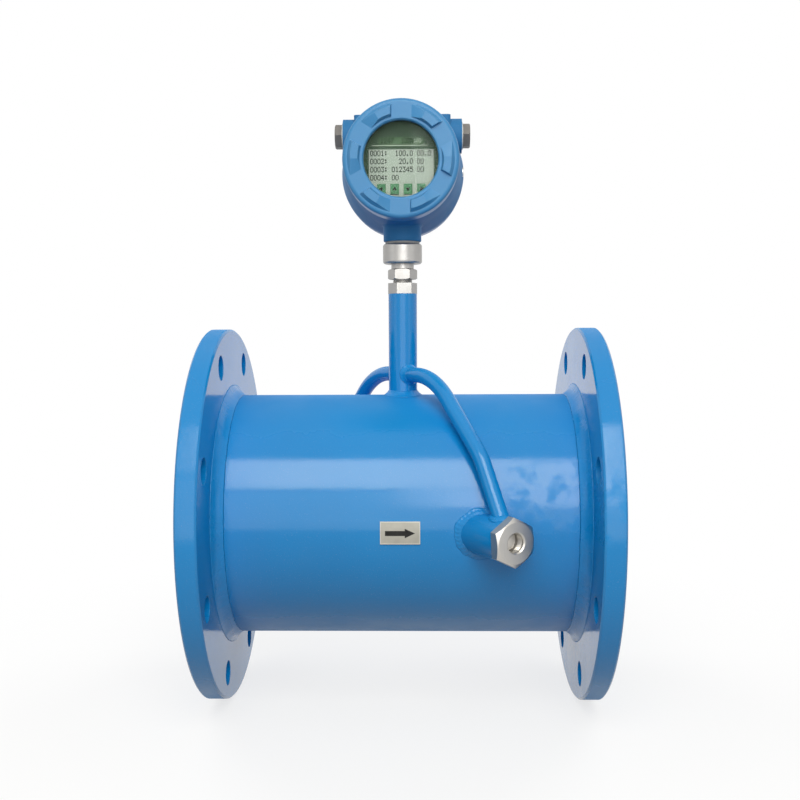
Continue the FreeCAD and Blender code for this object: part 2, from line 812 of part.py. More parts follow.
def four_points(radius, y):
    points = []
    for i in range(4):
        at_angle = math.radians(fixing_first_angle + 90 * i)
        points.append(HEAD + FreeCAD.Vector(radius * math.cos(at_angle), y, radius * math.sin(at_angle)))
    return points


def fixing_points(y):
    return four_points(fixing_radius, y)


def display_faceplate():
    """Front plate with an open screen window, four key holes and four posts behind it."""
    back = faceplate_y + faceplate_thickness
    body = rod(faceplate_d, faceplate_y, back, HEAD, Y)
    posts = [rod(spacer_d, 0, board_y - back, p, Y) for p in fixing_points(back)]
    body = body.multiFuse(posts)
    through = (faceplate_y - 1, back + 1)
    wide = key_width / 2 + key_gap
    tall = key_height / 2 + key_gap
    for x, z in key_centres():
        body = body.cut(box((x - wide, x + wide), through, (z - tall, z + tall), HEAD))
    body = body.cut(box((-lcd_width / 2, lcd_width / 2), through, (lcd_low, lcd_top), HEAD))
    for p in fixing_points(faceplate_y):
        body = body.cut(rod(screw_shank_d + 2 * fit_gap, -1, board_y - faceplate_y + 1, p, Y))
    return body


def lcd_module():
    """Liquid crystal cell on its frame, standing on the display board."""
    cell = box((-lcd_width / 2 + lcd_gap, lcd_width / 2 - lcd_gap),
               (faceplate_y + lcd_glass_recess, faceplate_y + faceplate_thickness + 1),
               (lcd_low + lcd_gap, lcd_top - lcd_gap), HEAD)
    frame = box((-lcd_width / 2 - 1, lcd_width / 2 + 1),
                (faceplate_y + faceplate_thickness + part_gap, board_y),
                (lcd_low - lcd_gap, lcd_top + lcd_frame), HEAD)
    return cell.fuse(frame)


def display_key(index):
    """Push key: a cap in the faceplate and a flange behind it that keeps it in."""
    x, z = key_centres()[index]
    back = faceplate_y + faceplate_thickness
    cap = box((x - key_width / 2, x + key_width / 2), (faceplate_y - key_proud, back + part_gap),
              (z - key_height / 2, z + key_height / 2), HEAD)
    face_y = faceplate_y - key_proud
    front = [edge for edge in cap.Edges if all(abs(v.Y - face_y) < 1e-6 for v in edge.Vertexes)]
    cap = cap.makeFillet(key_round, front)
    flange_y = back + part_gap
    wide = key_width / 2 + key_flange
    tall = key_height / 2 + key_flange
    foot = box((x - wide, x + wide), (flange_y, flange_y + key_flange_thickness), (z - tall, z + tall), HEAD)
    return cap.fuse(foot).removeSplitter()


def key_switches():
    """Four tact switches, one behind each key."""
    front = faceplate_y + faceplate_thickness + part_gap + key_flange_thickness + key_travel + part_gap
    half = switch_size / 2
    switches = []
    for x, z in key_centres():
        body = box((x - half, x + half), (front + switch_button_height, board_y), (z - half, z + half), HEAD)
        button = rod(switch_button_d, front, front + switch_button_height, HEAD + X * x + Z * z, Y)
        switches.append(body.fuse(button))
    return Part.makeCompound(switches)


def round_board(diameter, front, holes):
    body = rod(diameter, front, front + board_thickness, HEAD, Y)
    for p in holes:
        body = body.cut(rod(screw_shank_d + 2 * fit_gap, -1, board_thickness + 1, p, Y))
    return body


def display_board():
    return round_board(board_d, board_y, fixing_points(board_y))


def main_board():
    body = round_board(main_board_d, main_board_y, [])
    width, depth, height = relay_block
    lower = box((-width, 0), (main_board_y - depth, main_board_y), (-height / 2, height / 2), HEAD)
    upper = box((width * 0.2, width), (main_board_y - depth * 0.6, main_board_y), (-height, 0), HEAD)
    return body.multiFuse([lower, upper])


def display_standoffs():
    start = board_y + board_thickness
    return Part.makeCompound([rod(spacer_d, 0, main_board_y - start, p, Y) for p in inner_fixings(start)])


def board_standoffs():
    start = main_board_y + board_thickness
    length = front_cavity_end_y - start
    return Part.makeCompound([rod(spacer_d, 0, length, p, Y) for p in inner_fixings(start)])


def inner_fixings(y):
    """Standoff centres, drawn in so that they stand on the smaller main board."""
    return four_points((main_board_d - spacer_d) / 2 - part_gap, y)


def faceplate_screws():
    screws = []
    for p in fixing_points(faceplate_y):
        head = rod(screw_head_d, -screw_head_height, 0, p, Y)
        slot = box((-slot_width / 2, slot_width / 2),
                   (-screw_head_height - 1, slot_depth - screw_head_height),
                   (-screw_head_d, screw_head_d), p)
        head = head.cut(slot)
        shank = rod(screw_shank_d, 0, board_y + board_thickness - faceplate_y, p, Y)
        screws.append(head.fuse(shank))
    return Part.makeCompound(screws)


# Terminals

def terminal_centres():
    return [terminal_pitch * (i - (terminal_count - 1) / 2) for i in range(terminal_count)]


def terminal_block():
    """Stepped moulding on the dividing wall with a wire hole and a screw well for each pole."""
    half = terminal_pitch * terminal_count / 2 + terminal_end
    back = rear_cavity_start_y
    front = back + terminal_block_depth
    low = terminal_drop - terminal_block_height / 2
    body = box((-half, half), (back, front), (low, low + terminal_block_height), HEAD)
    step = box((-half - 1, half + 1), (front - terminal_well, front + 1), (low - 1, terminal_drop - 1), HEAD)
    body = body.cut(step)
    for x in terminal_centres():
        centre = HEAD + X * x + Z * (terminal_drop + terminal_screw_rise)
        body = body.cut(rod(terminal_screw_d + 2 * part_gap, front - terminal_well, front + 1, centre, Y))
        entry_start = back + wire_hole_back
        body = body.cut(box((x - wire_hole / 2, x + wire_hole / 2), (entry_start, entry_start + wire_hole),
                            (low - 1, low + wire_hole), HEAD))
    return body


def terminal_screws():
    seat = rear_cavity_start_y + terminal_block_depth - terminal_well
    top = seat + terminal_screw_height
    screws = []
    for x in terminal_centres():
        centre = HEAD + X * x + Z * (terminal_drop + terminal_screw_rise)
        slot = box((-slot_width / 2, slot_width / 2), (top - slot_depth, top + 1),
                   (-terminal_screw_d, terminal_screw_d), centre)
        screws.append(rod(terminal_screw_d, seat, top, centre, Y).cut(slot))
    return Part.makeCompound(screws)


def nodes():
    made = {"measuring_tube": measuring_tube()}
    for name, side in (("inlet", -1), ("outlet", 1)):
        made[name + "_flange"] = at_flange(flange(), side)
        made[name + "_flange_weld"] = at_flange(flange_weld(), side)
    paired = {"port_boss": port_boss, "port_weld": port_weld, "transducer": transducer,
              "transducer_seal": transducer_seal, "thrust_sleeve": thrust_sleeve, "port_cap": port_cap,
              "conduit": conduit, "conduit_welds": conduit_welds, "signal_cable": signal_cable}
    for name, make in paired.items():
        shape = make()
        made["front_" + name] = shape
        made["rear_" + name] = rear_copy(shape)
    for side, name in ((-1, "left"), (1, "right")):
        made[name + "_entry_plug"] = entry_plug(side)
        made[name + "_entry_washer"] = entry_washer(side)
    for index, name in enumerate(("key_left", "key_up", "key_down", "key_enter")):
        made[name] = display_key(index)
    single = (stem_tube, stem_weld, signal_plug, flow_arrow_plate, stem_adapter, swivel_seal, lock_nut,
              head_collar, collar_gasket, transmitter_housing, front_cover, rear_cover, front_cover_seal,
              rear_cover_seal, window_gasket, window_glass, glass_retaining_ring, ground_screw,
              display_faceplate, lcd_module, key_switches, display_board, main_board, display_standoffs,
              board_standoffs, faceplate_screws, terminal_block, terminal_screws)
    for make in single:
        made[make.__name__] = make()
    return made


def main():
    os.makedirs("parts", exist_ok=True)
    for name, shape in nodes().items():
        shape.exportStep("parts/" + name + ".step")
        print(name, len(shape.Solids), "solids", round(shape.Volume / 1000, 2), "cm3", shape.isValid())


main()
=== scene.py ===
import json
import math
import bmesh
import bpy
from mathutils import Matrix, Vector, noise


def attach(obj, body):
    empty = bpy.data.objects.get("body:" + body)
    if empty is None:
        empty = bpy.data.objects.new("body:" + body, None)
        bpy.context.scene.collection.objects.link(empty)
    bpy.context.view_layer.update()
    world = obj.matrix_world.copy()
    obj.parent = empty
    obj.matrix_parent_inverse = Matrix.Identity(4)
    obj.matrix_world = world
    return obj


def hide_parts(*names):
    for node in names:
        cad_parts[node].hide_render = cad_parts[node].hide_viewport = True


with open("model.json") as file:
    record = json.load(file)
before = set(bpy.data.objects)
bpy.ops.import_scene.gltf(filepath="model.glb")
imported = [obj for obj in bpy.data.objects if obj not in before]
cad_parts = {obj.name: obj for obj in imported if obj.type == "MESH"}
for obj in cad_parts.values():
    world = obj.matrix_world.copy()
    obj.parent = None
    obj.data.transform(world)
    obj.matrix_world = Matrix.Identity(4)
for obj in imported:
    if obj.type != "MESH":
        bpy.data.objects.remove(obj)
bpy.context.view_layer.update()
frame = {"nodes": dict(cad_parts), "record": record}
nodes = frame["nodes"]
scene = bpy.context.scene
mm = 0.001
axisX, axisZ = Vector((1, 0, 0)), Vector((0, 0, 1))

# sizes that the CAD source gives, in metres
meter = {
    "pipeR": 109.55 * mm, "faceX": 175 * mm, "pipeEndX": 169 * mm, "flangeThick": 18 * mm,
    "portDir": Vector((math.cos(math.radians(58)), -math.sin(math.radians(58)), 0)),
    "bossR": 17.8 * mm, "capEnd": 172.979 * mm,
    "stemR": 13 * mm, "conduitR": 6.75 * mm, "conduitZ": 128.3 * mm,
    "conduitKnee": (124.679 * mm, 63.6 * mm), "conduitFoot": 162.879 * mm,
    "headZ": 313.05 * mm, "faceplateY": -38 * mm, "lcdY": -37.7 * mm,
}
headAxis = Vector((0, 0, meter["headZ"]))

# fitted to the outlines in the photo
camera = {"place": Vector((18.14, -939.87, 163.57)) * mm, "pitch": -6.22, "yaw": 1.296, "roll": 0.278,
          "lens": 45.87, "shiftY": 0.0585}


def makeCamera(cfg):
    pitch, yaw, roll = (math.radians(cfg[k]) for k in ("pitch", "yaw", "roll"))
    ahead = Vector((-math.sin(yaw) * math.cos(pitch), math.cos(yaw) * math.cos(pitch), math.sin(pitch)))
    right = Vector((math.cos(yaw), math.sin(yaw), 0))
    up = right.cross(ahead)
    side = right * math.cos(roll) - up * math.sin(roll)
    top = right * math.sin(roll) + up * math.cos(roll)
    data = bpy.data.cameras.new("studioCamera")
    data.sensor_width = 36
    data.lens = cfg["lens"]
    data.shift_y = cfg["shiftY"]
    data.clip_start, data.clip_end = 0.01, 50
    data.dof.use_dof = False
    cam = bpy.data.objects.new("studioCamera", data)
    turn = Matrix((side, top, -ahead)).transposed().to_4x4()
    cam.matrix_world = Matrix.Translation(cfg["place"]) @ turn
    scene.collection.objects.link(cam)
    scene.camera = cam


makeCamera(camera)
scene.view_settings.view_transform = "Standard"
print("camera placed")


def addNode(tree, kind, **values):
    node = tree.nodes.new(kind)
    for key, value in values.items():
        setattr(node, key, value)
    return node


def feed(tree, socket, value):
    # a socket is linked, a plain number or colour is set
    if isinstance(value, bpy.types.NodeSocket):
        tree.links.new(value, socket)
    elif value is not None:
        socket.default_value = value


def calc(tree, operation, a, b=None, c=None, clamp=False):
    node = addNode(tree, "ShaderNodeMath", operation=operation, use_clamp=clamp)
    for socket, value in zip(node.inputs, (a, b, c)):
        feed(tree, socket, value)
    return node.outputs[0]


def vectorCalc(tree, operation, a, b=None, out="Vector"):
    node = addNode(tree, "ShaderNodeVectorMath", operation=operation)
    feed(tree, node.inputs[0], a)
    feed(tree, node.inputs[1], b)
    return node.outputs[out]


def mixColor(tree, factor, a, b, blend="MIX"):
    node = addNode(tree, "ShaderNodeMix", data_type="RGBA", blend_type=blend)
    feed(tree, node.inputs[0], factor)
    feed(tree, node.inputs[6], a)
    feed(tree, node.inputs[7], b)
    return node.outputs[2]


def spread(tree, value, low, high, newLow=0.0, newHigh=1.0):
    node = addNode(tree, "ShaderNodeMapRange", clamp=True)
    for socket, item in zip(node.inputs, (value, low, high, newLow, newHigh)):
        feed(tree, socket, item)
    return node.outputs[0]


def noiseOf(tree, vector, scale, detail=2.0, rough=0.5):
    node = addNode(tree, "ShaderNodeTexNoise")
    feed(tree, node.inputs["Vector"], vector)
    feed(tree, node.inputs["Scale"], scale)
    node.inputs["Detail"].default_value = detail
    node.inputs["Roughness"].default_value = rough
    return node.outputs["Fac"]


def place(tree):
    return addNode(tree, "ShaderNodeTexCoord").outputs["Object"]


def split(tree, vector):
    node = addNode(tree, "ShaderNodeSeparateXYZ")
    feed(tree, node.inputs[0], vector)
    return node.outputs


def newGroup(name, inputs, outputs):
    tree = bpy.data.node_groups.new(name, "ShaderNodeTree")
    kinds = {"f": "NodeSocketFloat", "c": "NodeSocketColor", "v": "NodeSocketVector"}
    for label, kind, value in inputs:
        socket = tree.interface.new_socket(name=label, in_out="INPUT", socket_type=kinds[kind])
        socket.default_value = value
    for label, kind in outputs:
        tree.interface.new_socket(name=label, in_out="OUTPUT", socket_type=kinds[kind])
    return tree, addNode(tree, "NodeGroupInput").outputs, addNode(tree, "NodeGroupOutput").inputs


def useGroup(tree, group, **values):
    node = addNode(tree, "ShaderNodeGroup", node_tree=group)
    for key, value in values.items():
        feed(tree, node.inputs[key], value)
    return node.outputs


def makeOrangePeel():
    # the fine skin of sprayed paint over a slow roll of the surface below
    wanted = [("Grain", "f", 700.0), ("Roll", "f", 45.0), ("Rolling", "f", 0.5)]
    tree, got, out = newGroup("orangePeel", wanted, [("Height", "f")])
    spot = place(tree)
    fine = noiseOf(tree, spot, got["Grain"], 1.0)
    slow = noiseOf(tree, spot, got["Roll"], 2.0)
    feed(tree, out["Height"], calc(tree, "MULTIPLY_ADD", slow, got["Rolling"], fine))
    return tree


toneMarks = {"patch": 11.0, "speck": 1300.0, "speckColor": (0.55, 0.6, 0.62, 1), "smear": 27.0}


def makePaintTone(cfg):
    # thin and thick patches of a coat, and specks of dust in it
    tree, got, out = newGroup("paintTone", [("Paint", "c", (0, 0.2, 0.5, 1)), ("Thin", "c", (0, 0.1, 0.3, 1)),
                                            ("Uneven", "f", 0.3), ("Dust", "f", 0.15)],
                              [("Color", "c"), ("Matt", "f")])
    spot = place(tree)
    cloud = spread(tree, noiseOf(tree, spot, cfg["patch"], 3.0), 0.35, 0.7)
    tone = mixColor(tree, calc(tree, "MULTIPLY", cloud, got["Uneven"]), got["Paint"], got["Thin"])
    speck = spread(tree, noiseOf(tree, spot, cfg["speck"], 1.0), 0.69, 0.74)
    tone = mixColor(tree, calc(tree, "MULTIPLY", speck, got["Dust"]), tone, cfg["speckColor"])
    feed(tree, out["Color"], tone)
    feed(tree, out["Matt"], spread(tree, noiseOf(tree, spot, cfg["smear"], 4.0, 0.62), 0.38, 0.72))
    return tree


def makeTurnedMarks():
    # rings left by a lathe tool about an axis, on its faces and along its sides
    tree, got, out = newGroup("turnedMarks", [("Point", "v", (0, 0, 0)), ("Axis", "v", (0, 0, 1)),
                                              ("Pitch", "f", 0.0002)],
                              [("Height", "f"), ("Streak", "f")])
    offset = vectorCalc(tree, "SUBTRACT", place(tree), got["Point"])
    along = vectorCalc(tree, "DOT_PRODUCT", offset, got["Axis"], "Value")
    lift = addNode(tree, "ShaderNodeVectorMath", operation="SCALE")
    feed(tree, lift.inputs[0], got["Axis"])
    feed(tree, lift.inputs["Scale"], along)
    radius = vectorCalc(tree, "LENGTH", vectorCalc(tree, "SUBTRACT", offset, lift.outputs[0]), None, "Value")
    travel = calc(tree, "DIVIDE", calc(tree, "ADD", along, radius), got["Pitch"])
    for label, scale, detail in (("Height", 1.0, 3.0), ("Streak", 0.12, 2.0)):
        rings = addNode(tree, "ShaderNodeTexNoise", noise_dimensions="1D")
        feed(tree, rings.inputs["W"], travel)
        rings.inputs["Scale"].default_value = scale
        rings.inputs["Detail"].default_value = detail
        feed(tree, out[label], rings.outputs["Fac"])
    return tree


def makeEdgeMask():
    # 1 on edges and corners, 0 on open faces, broken up a little
    tree, got, out = newGroup("edgeMask", [("Width", "f", 0.0006), ("Broken", "f", 0.5)], [("Mask", "f")])
    bevel = addNode(tree, "ShaderNodeBevel", samples=4)
    feed(tree, bevel.inputs["Radius"], got["Width"])
    flat = addNode(tree, "ShaderNodeNewGeometry").outputs["Normal"]
    turn = vectorCalc(tree, "DOT_PRODUCT", bevel.outputs[0], flat, "Value")
    edge = spread(tree, turn, 0.985, 0.9)
    patchy = spread(tree, noiseOf(tree, place(tree), 160.0, 3.0), 0.35, 0.62)
    kept = calc(tree, "MULTIPLY", calc(tree, "SUBTRACT", 1.0, patchy), got["Broken"])
    feed(tree, out["Mask"], calc(tree, "MULTIPLY", edge, calc(tree, "SUBTRACT", 1.0, kept), clamp=True))
    return tree


def makeHandling():
    # fingerprints, wiped film and fine scratches, as a value between 0 and 1
    tree, got, out = newGroup("handling", [("Scale", "f", 60.0), ("Scratch", "f", 0.4)], [("Film", "f")])
    spot = place(tree)
    film = spread(tree, noiseOf(tree, spot, got["Scale"], 5.0, 0.6), 0.35, 0.75)
    stretched = vectorCalc(tree, "MULTIPLY", spot, (900.0, 900.0, 60.0))
    hair = spread(tree, noiseOf(tree, stretched, 1.0, 2.0), 0.66, 0.7)
    feed(tree, out["Film"], calc(tree, "MULTIPLY_ADD", hair, got["Scratch"], film, clamp=True))
    return tree


def makePrintZone():
    # 1 inside a box of the piece's own coordinates: the printed zones of a face
    corners = [("Low", "v", (-1, -1, -1)), ("High", "v", (1, 1, 1))]
    tree, got, out = newGroup("printZone", corners, [("Mask", "f")])
    spot = place(tree)
    above = vectorCalc(tree, "SUBTRACT", spot, got["Low"])
    below = vectorCalc(tree, "SUBTRACT", got["High"], spot)
    room = vectorCalc(tree, "MINIMUM", above, below)
    x, y, z = split(tree, room)
    least = calc(tree, "MINIMUM", calc(tree, "MINIMUM", x, y), z)
    feed(tree, out["Mask"], spread(tree, least, 0.0, 0.00008))
    return tree


orangePeel = makeOrangePeel()
paintTone = makePaintTone(toneMarks)
turnedMarks = makeTurnedMarks()
edgeMask = makeEdgeMask()
handling = makeHandling()
printZone = makePrintZone()
print("effect groups:", len(bpy.data.node_groups))


def newMaterial(name):
    material = bpy.data.materials.new(name)
    material.use_nodes = True
    tree = material.node_tree
    return material, tree, tree.nodes["Principled BSDF"]


def bumpFrom(tree, shader, height, distance, strength=1.0, normal=None):
    bump = addNode(tree, "ShaderNodeBump")
    bump.inputs["Strength"].default_value = strength
    bump.inputs["Distance"].default_value = distance
    feed(tree, bump.inputs["Height"], height)
    feed(tree, bump.inputs["Normal"], normal)
    tree.links.new(bump.outputs[0], shader.inputs["Normal"])


def softEdges(tree, radius):
    bevel = addNode(tree, "ShaderNodeBevel", samples=4)
    bevel.inputs["Radius"].default_value = radius
    return bevel.outputs[0]


def toneOf(tree, cfg):
    return useGroup(tree, paintTone, Paint=cfg["paint"], Thin=cfg["thin"], Uneven=cfg["uneven"],
                    Dust=cfg["dust"])


def filmOf(tree, scale, scratch):
    return useGroup(tree, handling, Scale=scale, Scratch=scratch)["Film"]


def peelOver(tree, shader, cfg, edge=None):
    # the surface skin as a bump, over edges softened to a radius where one is given
    skin = useGroup(tree, orangePeel, Grain=cfg["grain"], Roll=cfg["roll"], Rolling=cfg["rolling"])
    bumpFrom(tree, shader, skin["Height"], cfg["peel"], normal=edge and softEdges(tree, edge))


glossPaint = {"paint": (0.003, 0.220, 0.555, 1), "thin": (0.002, 0.190, 0.500, 1), "uneven": 0.4,
              "dust": 0.10, "specular": 0.40, "glossLow": 0.10, "glossHigh": 0.19, "grain": 620.0,
              "roll": 38.0, "peel": 0.000055, "rolling": 0.8, "edgeRadius": 0.0012, "settled": 0.42,
              "settledFrom": 0.62, "settledTo": 0.96, "wiped": 0.34, "wipedX": (0.078, 0.094),
              "wipedLow": (-0.004, 0.008), "wipedHigh": (0.062, 0.052), "wipedScale": 62.0,
              "wipedPatch": (0.46, 0.62)}
# the coat is duller and rolls more over the weld beads
beadCoat = dict(glossPaint, glossLow=0.24, glossHigh=0.34, settled=0.3, rolling=1.6, edgeRadius=0.0003)


def makeGlossPaint(name, cfg):
    material, tree, shader = newMaterial(name)
    tone = toneOf(tree, cfg)
    feed(tree, shader.inputs["Base Color"], tone["Color"])
    gloss = spread(tree, tone["Matt"], 0.0, 1.0, cfg["glossLow"], cfg["glossHigh"])
    # wiped patches on the right of the tube break up what it reflects
    spot = split(tree, place(tree))
    band = calc(tree, "MULTIPLY", spread(tree, spot["Z"], *cfg["wipedLow"]),
                spread(tree, spot["Z"], *cfg["wipedHigh"]))
    zone = calc(tree, "MULTIPLY", spread(tree, spot["X"], *cfg["wipedX"]), band)
    patch = spread(tree, noiseOf(tree, place(tree), cfg["wipedScale"], 3.0, 0.55), *cfg["wipedPatch"])
    rough = calc(tree, "MULTIPLY_ADD", calc(tree, "MULTIPLY", zone, patch), cfg["wiped"], gloss)
    # dust on what faces up and dry overspray on what faces down dull the coat
    facing = split(tree, addNode(tree, "ShaderNodeNewGeometry").outputs["Normal"])
    level = spread(tree, calc(tree, "ABSOLUTE", facing["Z"]), cfg["settledFrom"], cfg["settledTo"])
    rough = calc(tree, "MULTIPLY_ADD", level, cfg["settled"], rough)
    feed(tree, shader.inputs["Roughness"], rough)
    shader.inputs["Specular IOR Level"].default_value = cfg["specular"]
    peelOver(tree, shader, cfg, cfg["edgeRadius"])
    return material


# edge is a lighter colour painted along the edges: a painted highlight, not the coat's own colour
enamel = {"paint": (0.048, 0.222, 0.460, 1), "thin": (0.038, 0.196, 0.420, 1), "edge": (0.17, 0.39, 0.62, 1),
          "uneven": 0.4, "dust": 0.08, "specular": 0.34, "glossLow": 0.34, "glossHigh": 0.44, "grain": 1500.0,
          "roll": 160.0, "rolling": 0.5, "peel": 0.00003, "edgeWidth": 0.0007, "edgeHighlightAmount": 0.55,
          "edgeBroken": 0.35}
# the body under the covers is matter, and its paint is darkened as painted shade: a shaded copy of the
# covers' enamel
housingShadedEnamel = dict(enamel, specular=0.1, paint=(0.036, 0.175, 0.385, 1), thin=(0.029, 0.155, 0.350, 1),
                     glossLow=0.52, glossHigh=0.62, peel=0.000008)


def makeEnamel(name, cfg):
    # powder coat on cast aluminium, painted lighter along its edges as a painted highlight where the rounded
    # edges catch the light
    material, tree, shader = newMaterial(name)
    tone = toneOf(tree, cfg)
    edge = useGroup(tree, edgeMask, Width=cfg["edgeWidth"], Broken=cfg["edgeBroken"])["Mask"]
    # the lighter edge colour mixed in here is a painted highlight
    color = mixColor(tree, calc(tree, "MULTIPLY", edge, cfg["edgeHighlightAmount"]), tone["Color"], cfg["edge"])
    feed(tree, shader.inputs["Base Color"], color)
    feed(tree, shader.inputs["Roughness"],
         spread(tree, tone["Matt"], 0.0, 1.0, cfg["glossLow"], cfg["glossHigh"]))
    shader.inputs["Specular IOR Level"].default_value = cfg["specular"]
    peelOver(tree, shader, cfg, cfg["edgeWidth"])
    return material


# point and axis say about which line each one was turned (the stem's if not given), low and high
# how rough it is
headTurned = {"point": tuple(headAxis), "axis": (0, 1, 0)}
steelFinishes = {
    "stainlessPort": {"axis": tuple(meter["portDir"]), "pitch": 0.00016, "depth": 0.000012,
                      "color": (0.52, 0.50, 0.465, 1), "worn": (0.42, 0.405, 0.375, 1),
                      "low": 0.28, "high": 0.40},
    "stainlessStem": {"pitch": 0.00022, "depth": 0.00001, "color": (0.41, 0.40, 0.385, 1),
                      "worn": (0.34, 0.33, 0.315, 1), "low": 0.36, "high": 0.46},
    "plugSteel": {"point": (0, 0.028, 0.34645), "axis": (1, 0, 0), "pitch": 0.0003, "depth": 0.00002,
                  "color": (0.17, 0.162, 0.155, 1), "worn": (0.115, 0.11, 0.105, 1),
                  "low": 0.50, "high": 0.64},
    "screwSteel": dict(headTurned, pitch=0.00012, depth=0.00001, color=(0.66, 0.66, 0.65, 1),
                       worn=(0.46, 0.46, 0.45, 1), low=0.24, high=0.38),
    "standoffBrass": dict(headTurned, pitch=0.00014, depth=0.000012, color=(0.72, 0.52, 0.22, 1),
                          worn=(0.5, 0.34, 0.13, 1), low=0.22, high=0.36),
    "ringAnodised": dict(headTurned, pitch=0.0002, depth=0.00001, color=(0.022, 0.022, 0.024, 1),
                         worn=(0.05, 0.05, 0.052, 1), low=0.34, high=0.46),
}
steelWear = {"scale": 85.0, "scratch": 0.35, "film": 0.45, "edgeWidth": 0.0004, "broken": 0.5,
             "rubbed": 0.5, "bright": 1.25}


def makeSteel(name, cfg, wear=steelWear):
    # turned metal: rings of the tool, a handling film, edges rubbed bright
    material, tree, shader = newMaterial(name)
    marks = useGroup(tree, turnedMarks, Point=cfg.get("point", (0, 0, 0)), Axis=cfg.get("axis", (0, 0, 1)),
                     Pitch=cfg["pitch"])
    film = filmOf(tree, wear["scale"], wear["scratch"])
    color = mixColor(tree, calc(tree, "MULTIPLY", film, wear["film"]), cfg["color"], cfg["worn"])
    edge = useGroup(tree, edgeMask, Width=wear["edgeWidth"], Broken=wear["broken"])["Mask"]
    bright = tuple(min(1.0, c * wear["bright"]) for c in cfg["color"][:3]) + (1,)
    rubbed = calc(tree, "MULTIPLY", edge, wear["rubbed"])
    feed(tree, shader.inputs["Base Color"], mixColor(tree, rubbed, color, bright))
    blend = calc(tree, "MULTIPLY_ADD", marks["Streak"], 0.5, calc(tree, "MULTIPLY", film, 0.5))
    feed(tree, shader.inputs["Roughness"], spread(tree, blend, 0.2, 0.8, cfg["low"], cfg["high"]))
    shader.inputs["Metallic"].default_value = 1.0
    bumpFrom(tree, shader, marks["Height"], cfg["depth"], normal=softEdges(tree, wear["edgeWidth"]))
    return material


# rubber, plastics and printing inks; mouldingSkin holds what they share
mouldingSkin = {"clouds": 220.0, "scale": 140.0, "scratch": 0.25, "swing": 0.06, "roll": 300.0,
                "rolling": 0.4, "specular": 0.5, "grain": 3500.0, "peel": 0.000002}
mouldings = {
    "rubberBlack": {"color": (0.018, 0.018, 0.019, 1), "pale": (0.045, 0.045, 0.047, 1), "rough": 0.72,
                    "grain": 2200.0, "peel": 0.00003},
    "gasketGrey": {"color": (0.30, 0.30, 0.29, 1), "pale": (0.38, 0.38, 0.37, 1), "rough": 0.78,
                   "grain": 1800.0, "peel": 0.00003},
    "cableSheath": {"color": (0.03, 0.03, 0.032, 1), "pale": (0.06, 0.06, 0.062, 1), "rough": 0.5,
                    "grain": 2600.0, "peel": 0.00001},
    "plasticBlack": {"color": (0.022, 0.022, 0.023, 1), "pale": (0.05, 0.05, 0.052, 1), "rough": 0.48,
                     "grain": 3000.0, "peel": 0.00001},
    "nylonWhite": {"color": (0.76, 0.76, 0.73, 1), "pale": (0.66, 0.65, 0.6, 1), "rough": 0.42,
                   "grain": 1500.0, "peel": 0.000015},
    "keyGreen": {"color": (0.035, 0.165, 0.068, 1), "pale": (0.055, 0.21, 0.09, 1), "rough": 0.5,
                 "grain": 2400.0, "peel": 0.00002},
    "terminalGrey": {"color": (0.30, 0.31, 0.31, 1), "pale": (0.38, 0.39, 0.39, 1), "rough": 0.52,
                     "grain": 2400.0, "peel": 0.00002},
    "inkBlack": {"color": (0.012, 0.012, 0.011, 1), "pale": (0.03, 0.03, 0.028, 1), "rough": 0.45,
                 "specular": 0.15, "peel": 0.00001},
    "pixelDark": {"color": (0.008, 0.012, 0.010, 1), "pale": (0.014, 0.018, 0.015, 1), "rough": 0.6,
                  "specular": 0.1},
    "printPale": {"color": (0.42, 0.50, 0.40, 1), "pale": (0.36, 0.43, 0.34, 1), "rough": 0.5},
    "printField": {"color": (0.088, 0.150, 0.082, 1), "pale": (0.070, 0.122, 0.067, 1), "rough": 0.6,
                   "specular": 0.12, "grain": 900.0},
    "printGreen": {"color": (0.003, 0.013, 0.005, 1), "pale": (0.004, 0.017, 0.006, 1), "rough": 0.5,
                   "specular": 0.1},
}


def makeMoulding(name, cfg):
    material, tree, shader = newMaterial(name)
    cloud = spread(tree, noiseOf(tree, place(tree), cfg["clouds"], 4.0), 0.3, 0.75)
    feed(tree, shader.inputs["Base Color"], mixColor(tree, cloud, cfg["color"], cfg["pale"]))
    film, rough, swing = filmOf(tree, cfg["scale"], cfg["scratch"]), cfg["rough"], cfg["swing"]
    shader.inputs["Specular IOR Level"].default_value = cfg["specular"]
    feed(tree, shader.inputs["Roughness"], spread(tree, film, 0.0, 1.0, rough - swing, rough + swing))
    peelOver(tree, shader, cfg)
    return material


faceplatePrint = {"dark": (0.060, 0.098, 0.062, 1), "shade": (0.044, 0.074, 0.047, 1),
                  "pale": (0.36, 0.40, 0.35, 1), "halfWidth": 28.3, "top": -17.0, "bottom": -45.0,
                  "behind": 0.0, "front": -60.0, "clouds": 90.0, "specular": 0.12, "low": 0.5,
                  "high": 0.66, "grain": 2600.0, "roll": 400.0, "rolling": 0.3, "peel": 0.000012}


def zoneOf(tree, cfg):
    # a box in mm about the head's axis
    half, high = cfg["halfWidth"] * mm, meter["headZ"]
    return useGroup(tree, printZone, Low=(-half, cfg["front"] * mm, high + cfg["bottom"] * mm),
                    High=(half, cfg["behind"] * mm, high + cfg["top"] * mm))["Mask"]


def makeFaceplate(name, cfg):
    # printed film: dark green above and beside the display, the display's own pale green round the keys
    material, tree, shader = newMaterial(name)
    cloud = spread(tree, noiseOf(tree, place(tree), cfg["clouds"], 4.0), 0.3, 0.7)
    dark = mixColor(tree, cloud, cfg["dark"], cfg["shade"])
    feed(tree, shader.inputs["Base Color"], mixColor(tree, zoneOf(tree, cfg), dark, cfg["pale"]))
    film = filmOf(tree, 120.0, 0.2)
    feed(tree, shader.inputs["Roughness"], spread(tree, film, 0.0, 1.0, cfg["low"], cfg["high"]))
    shader.inputs["Specular IOR Level"].default_value = cfg["specular"]
    peelOver(tree, shader, cfg)
    return material


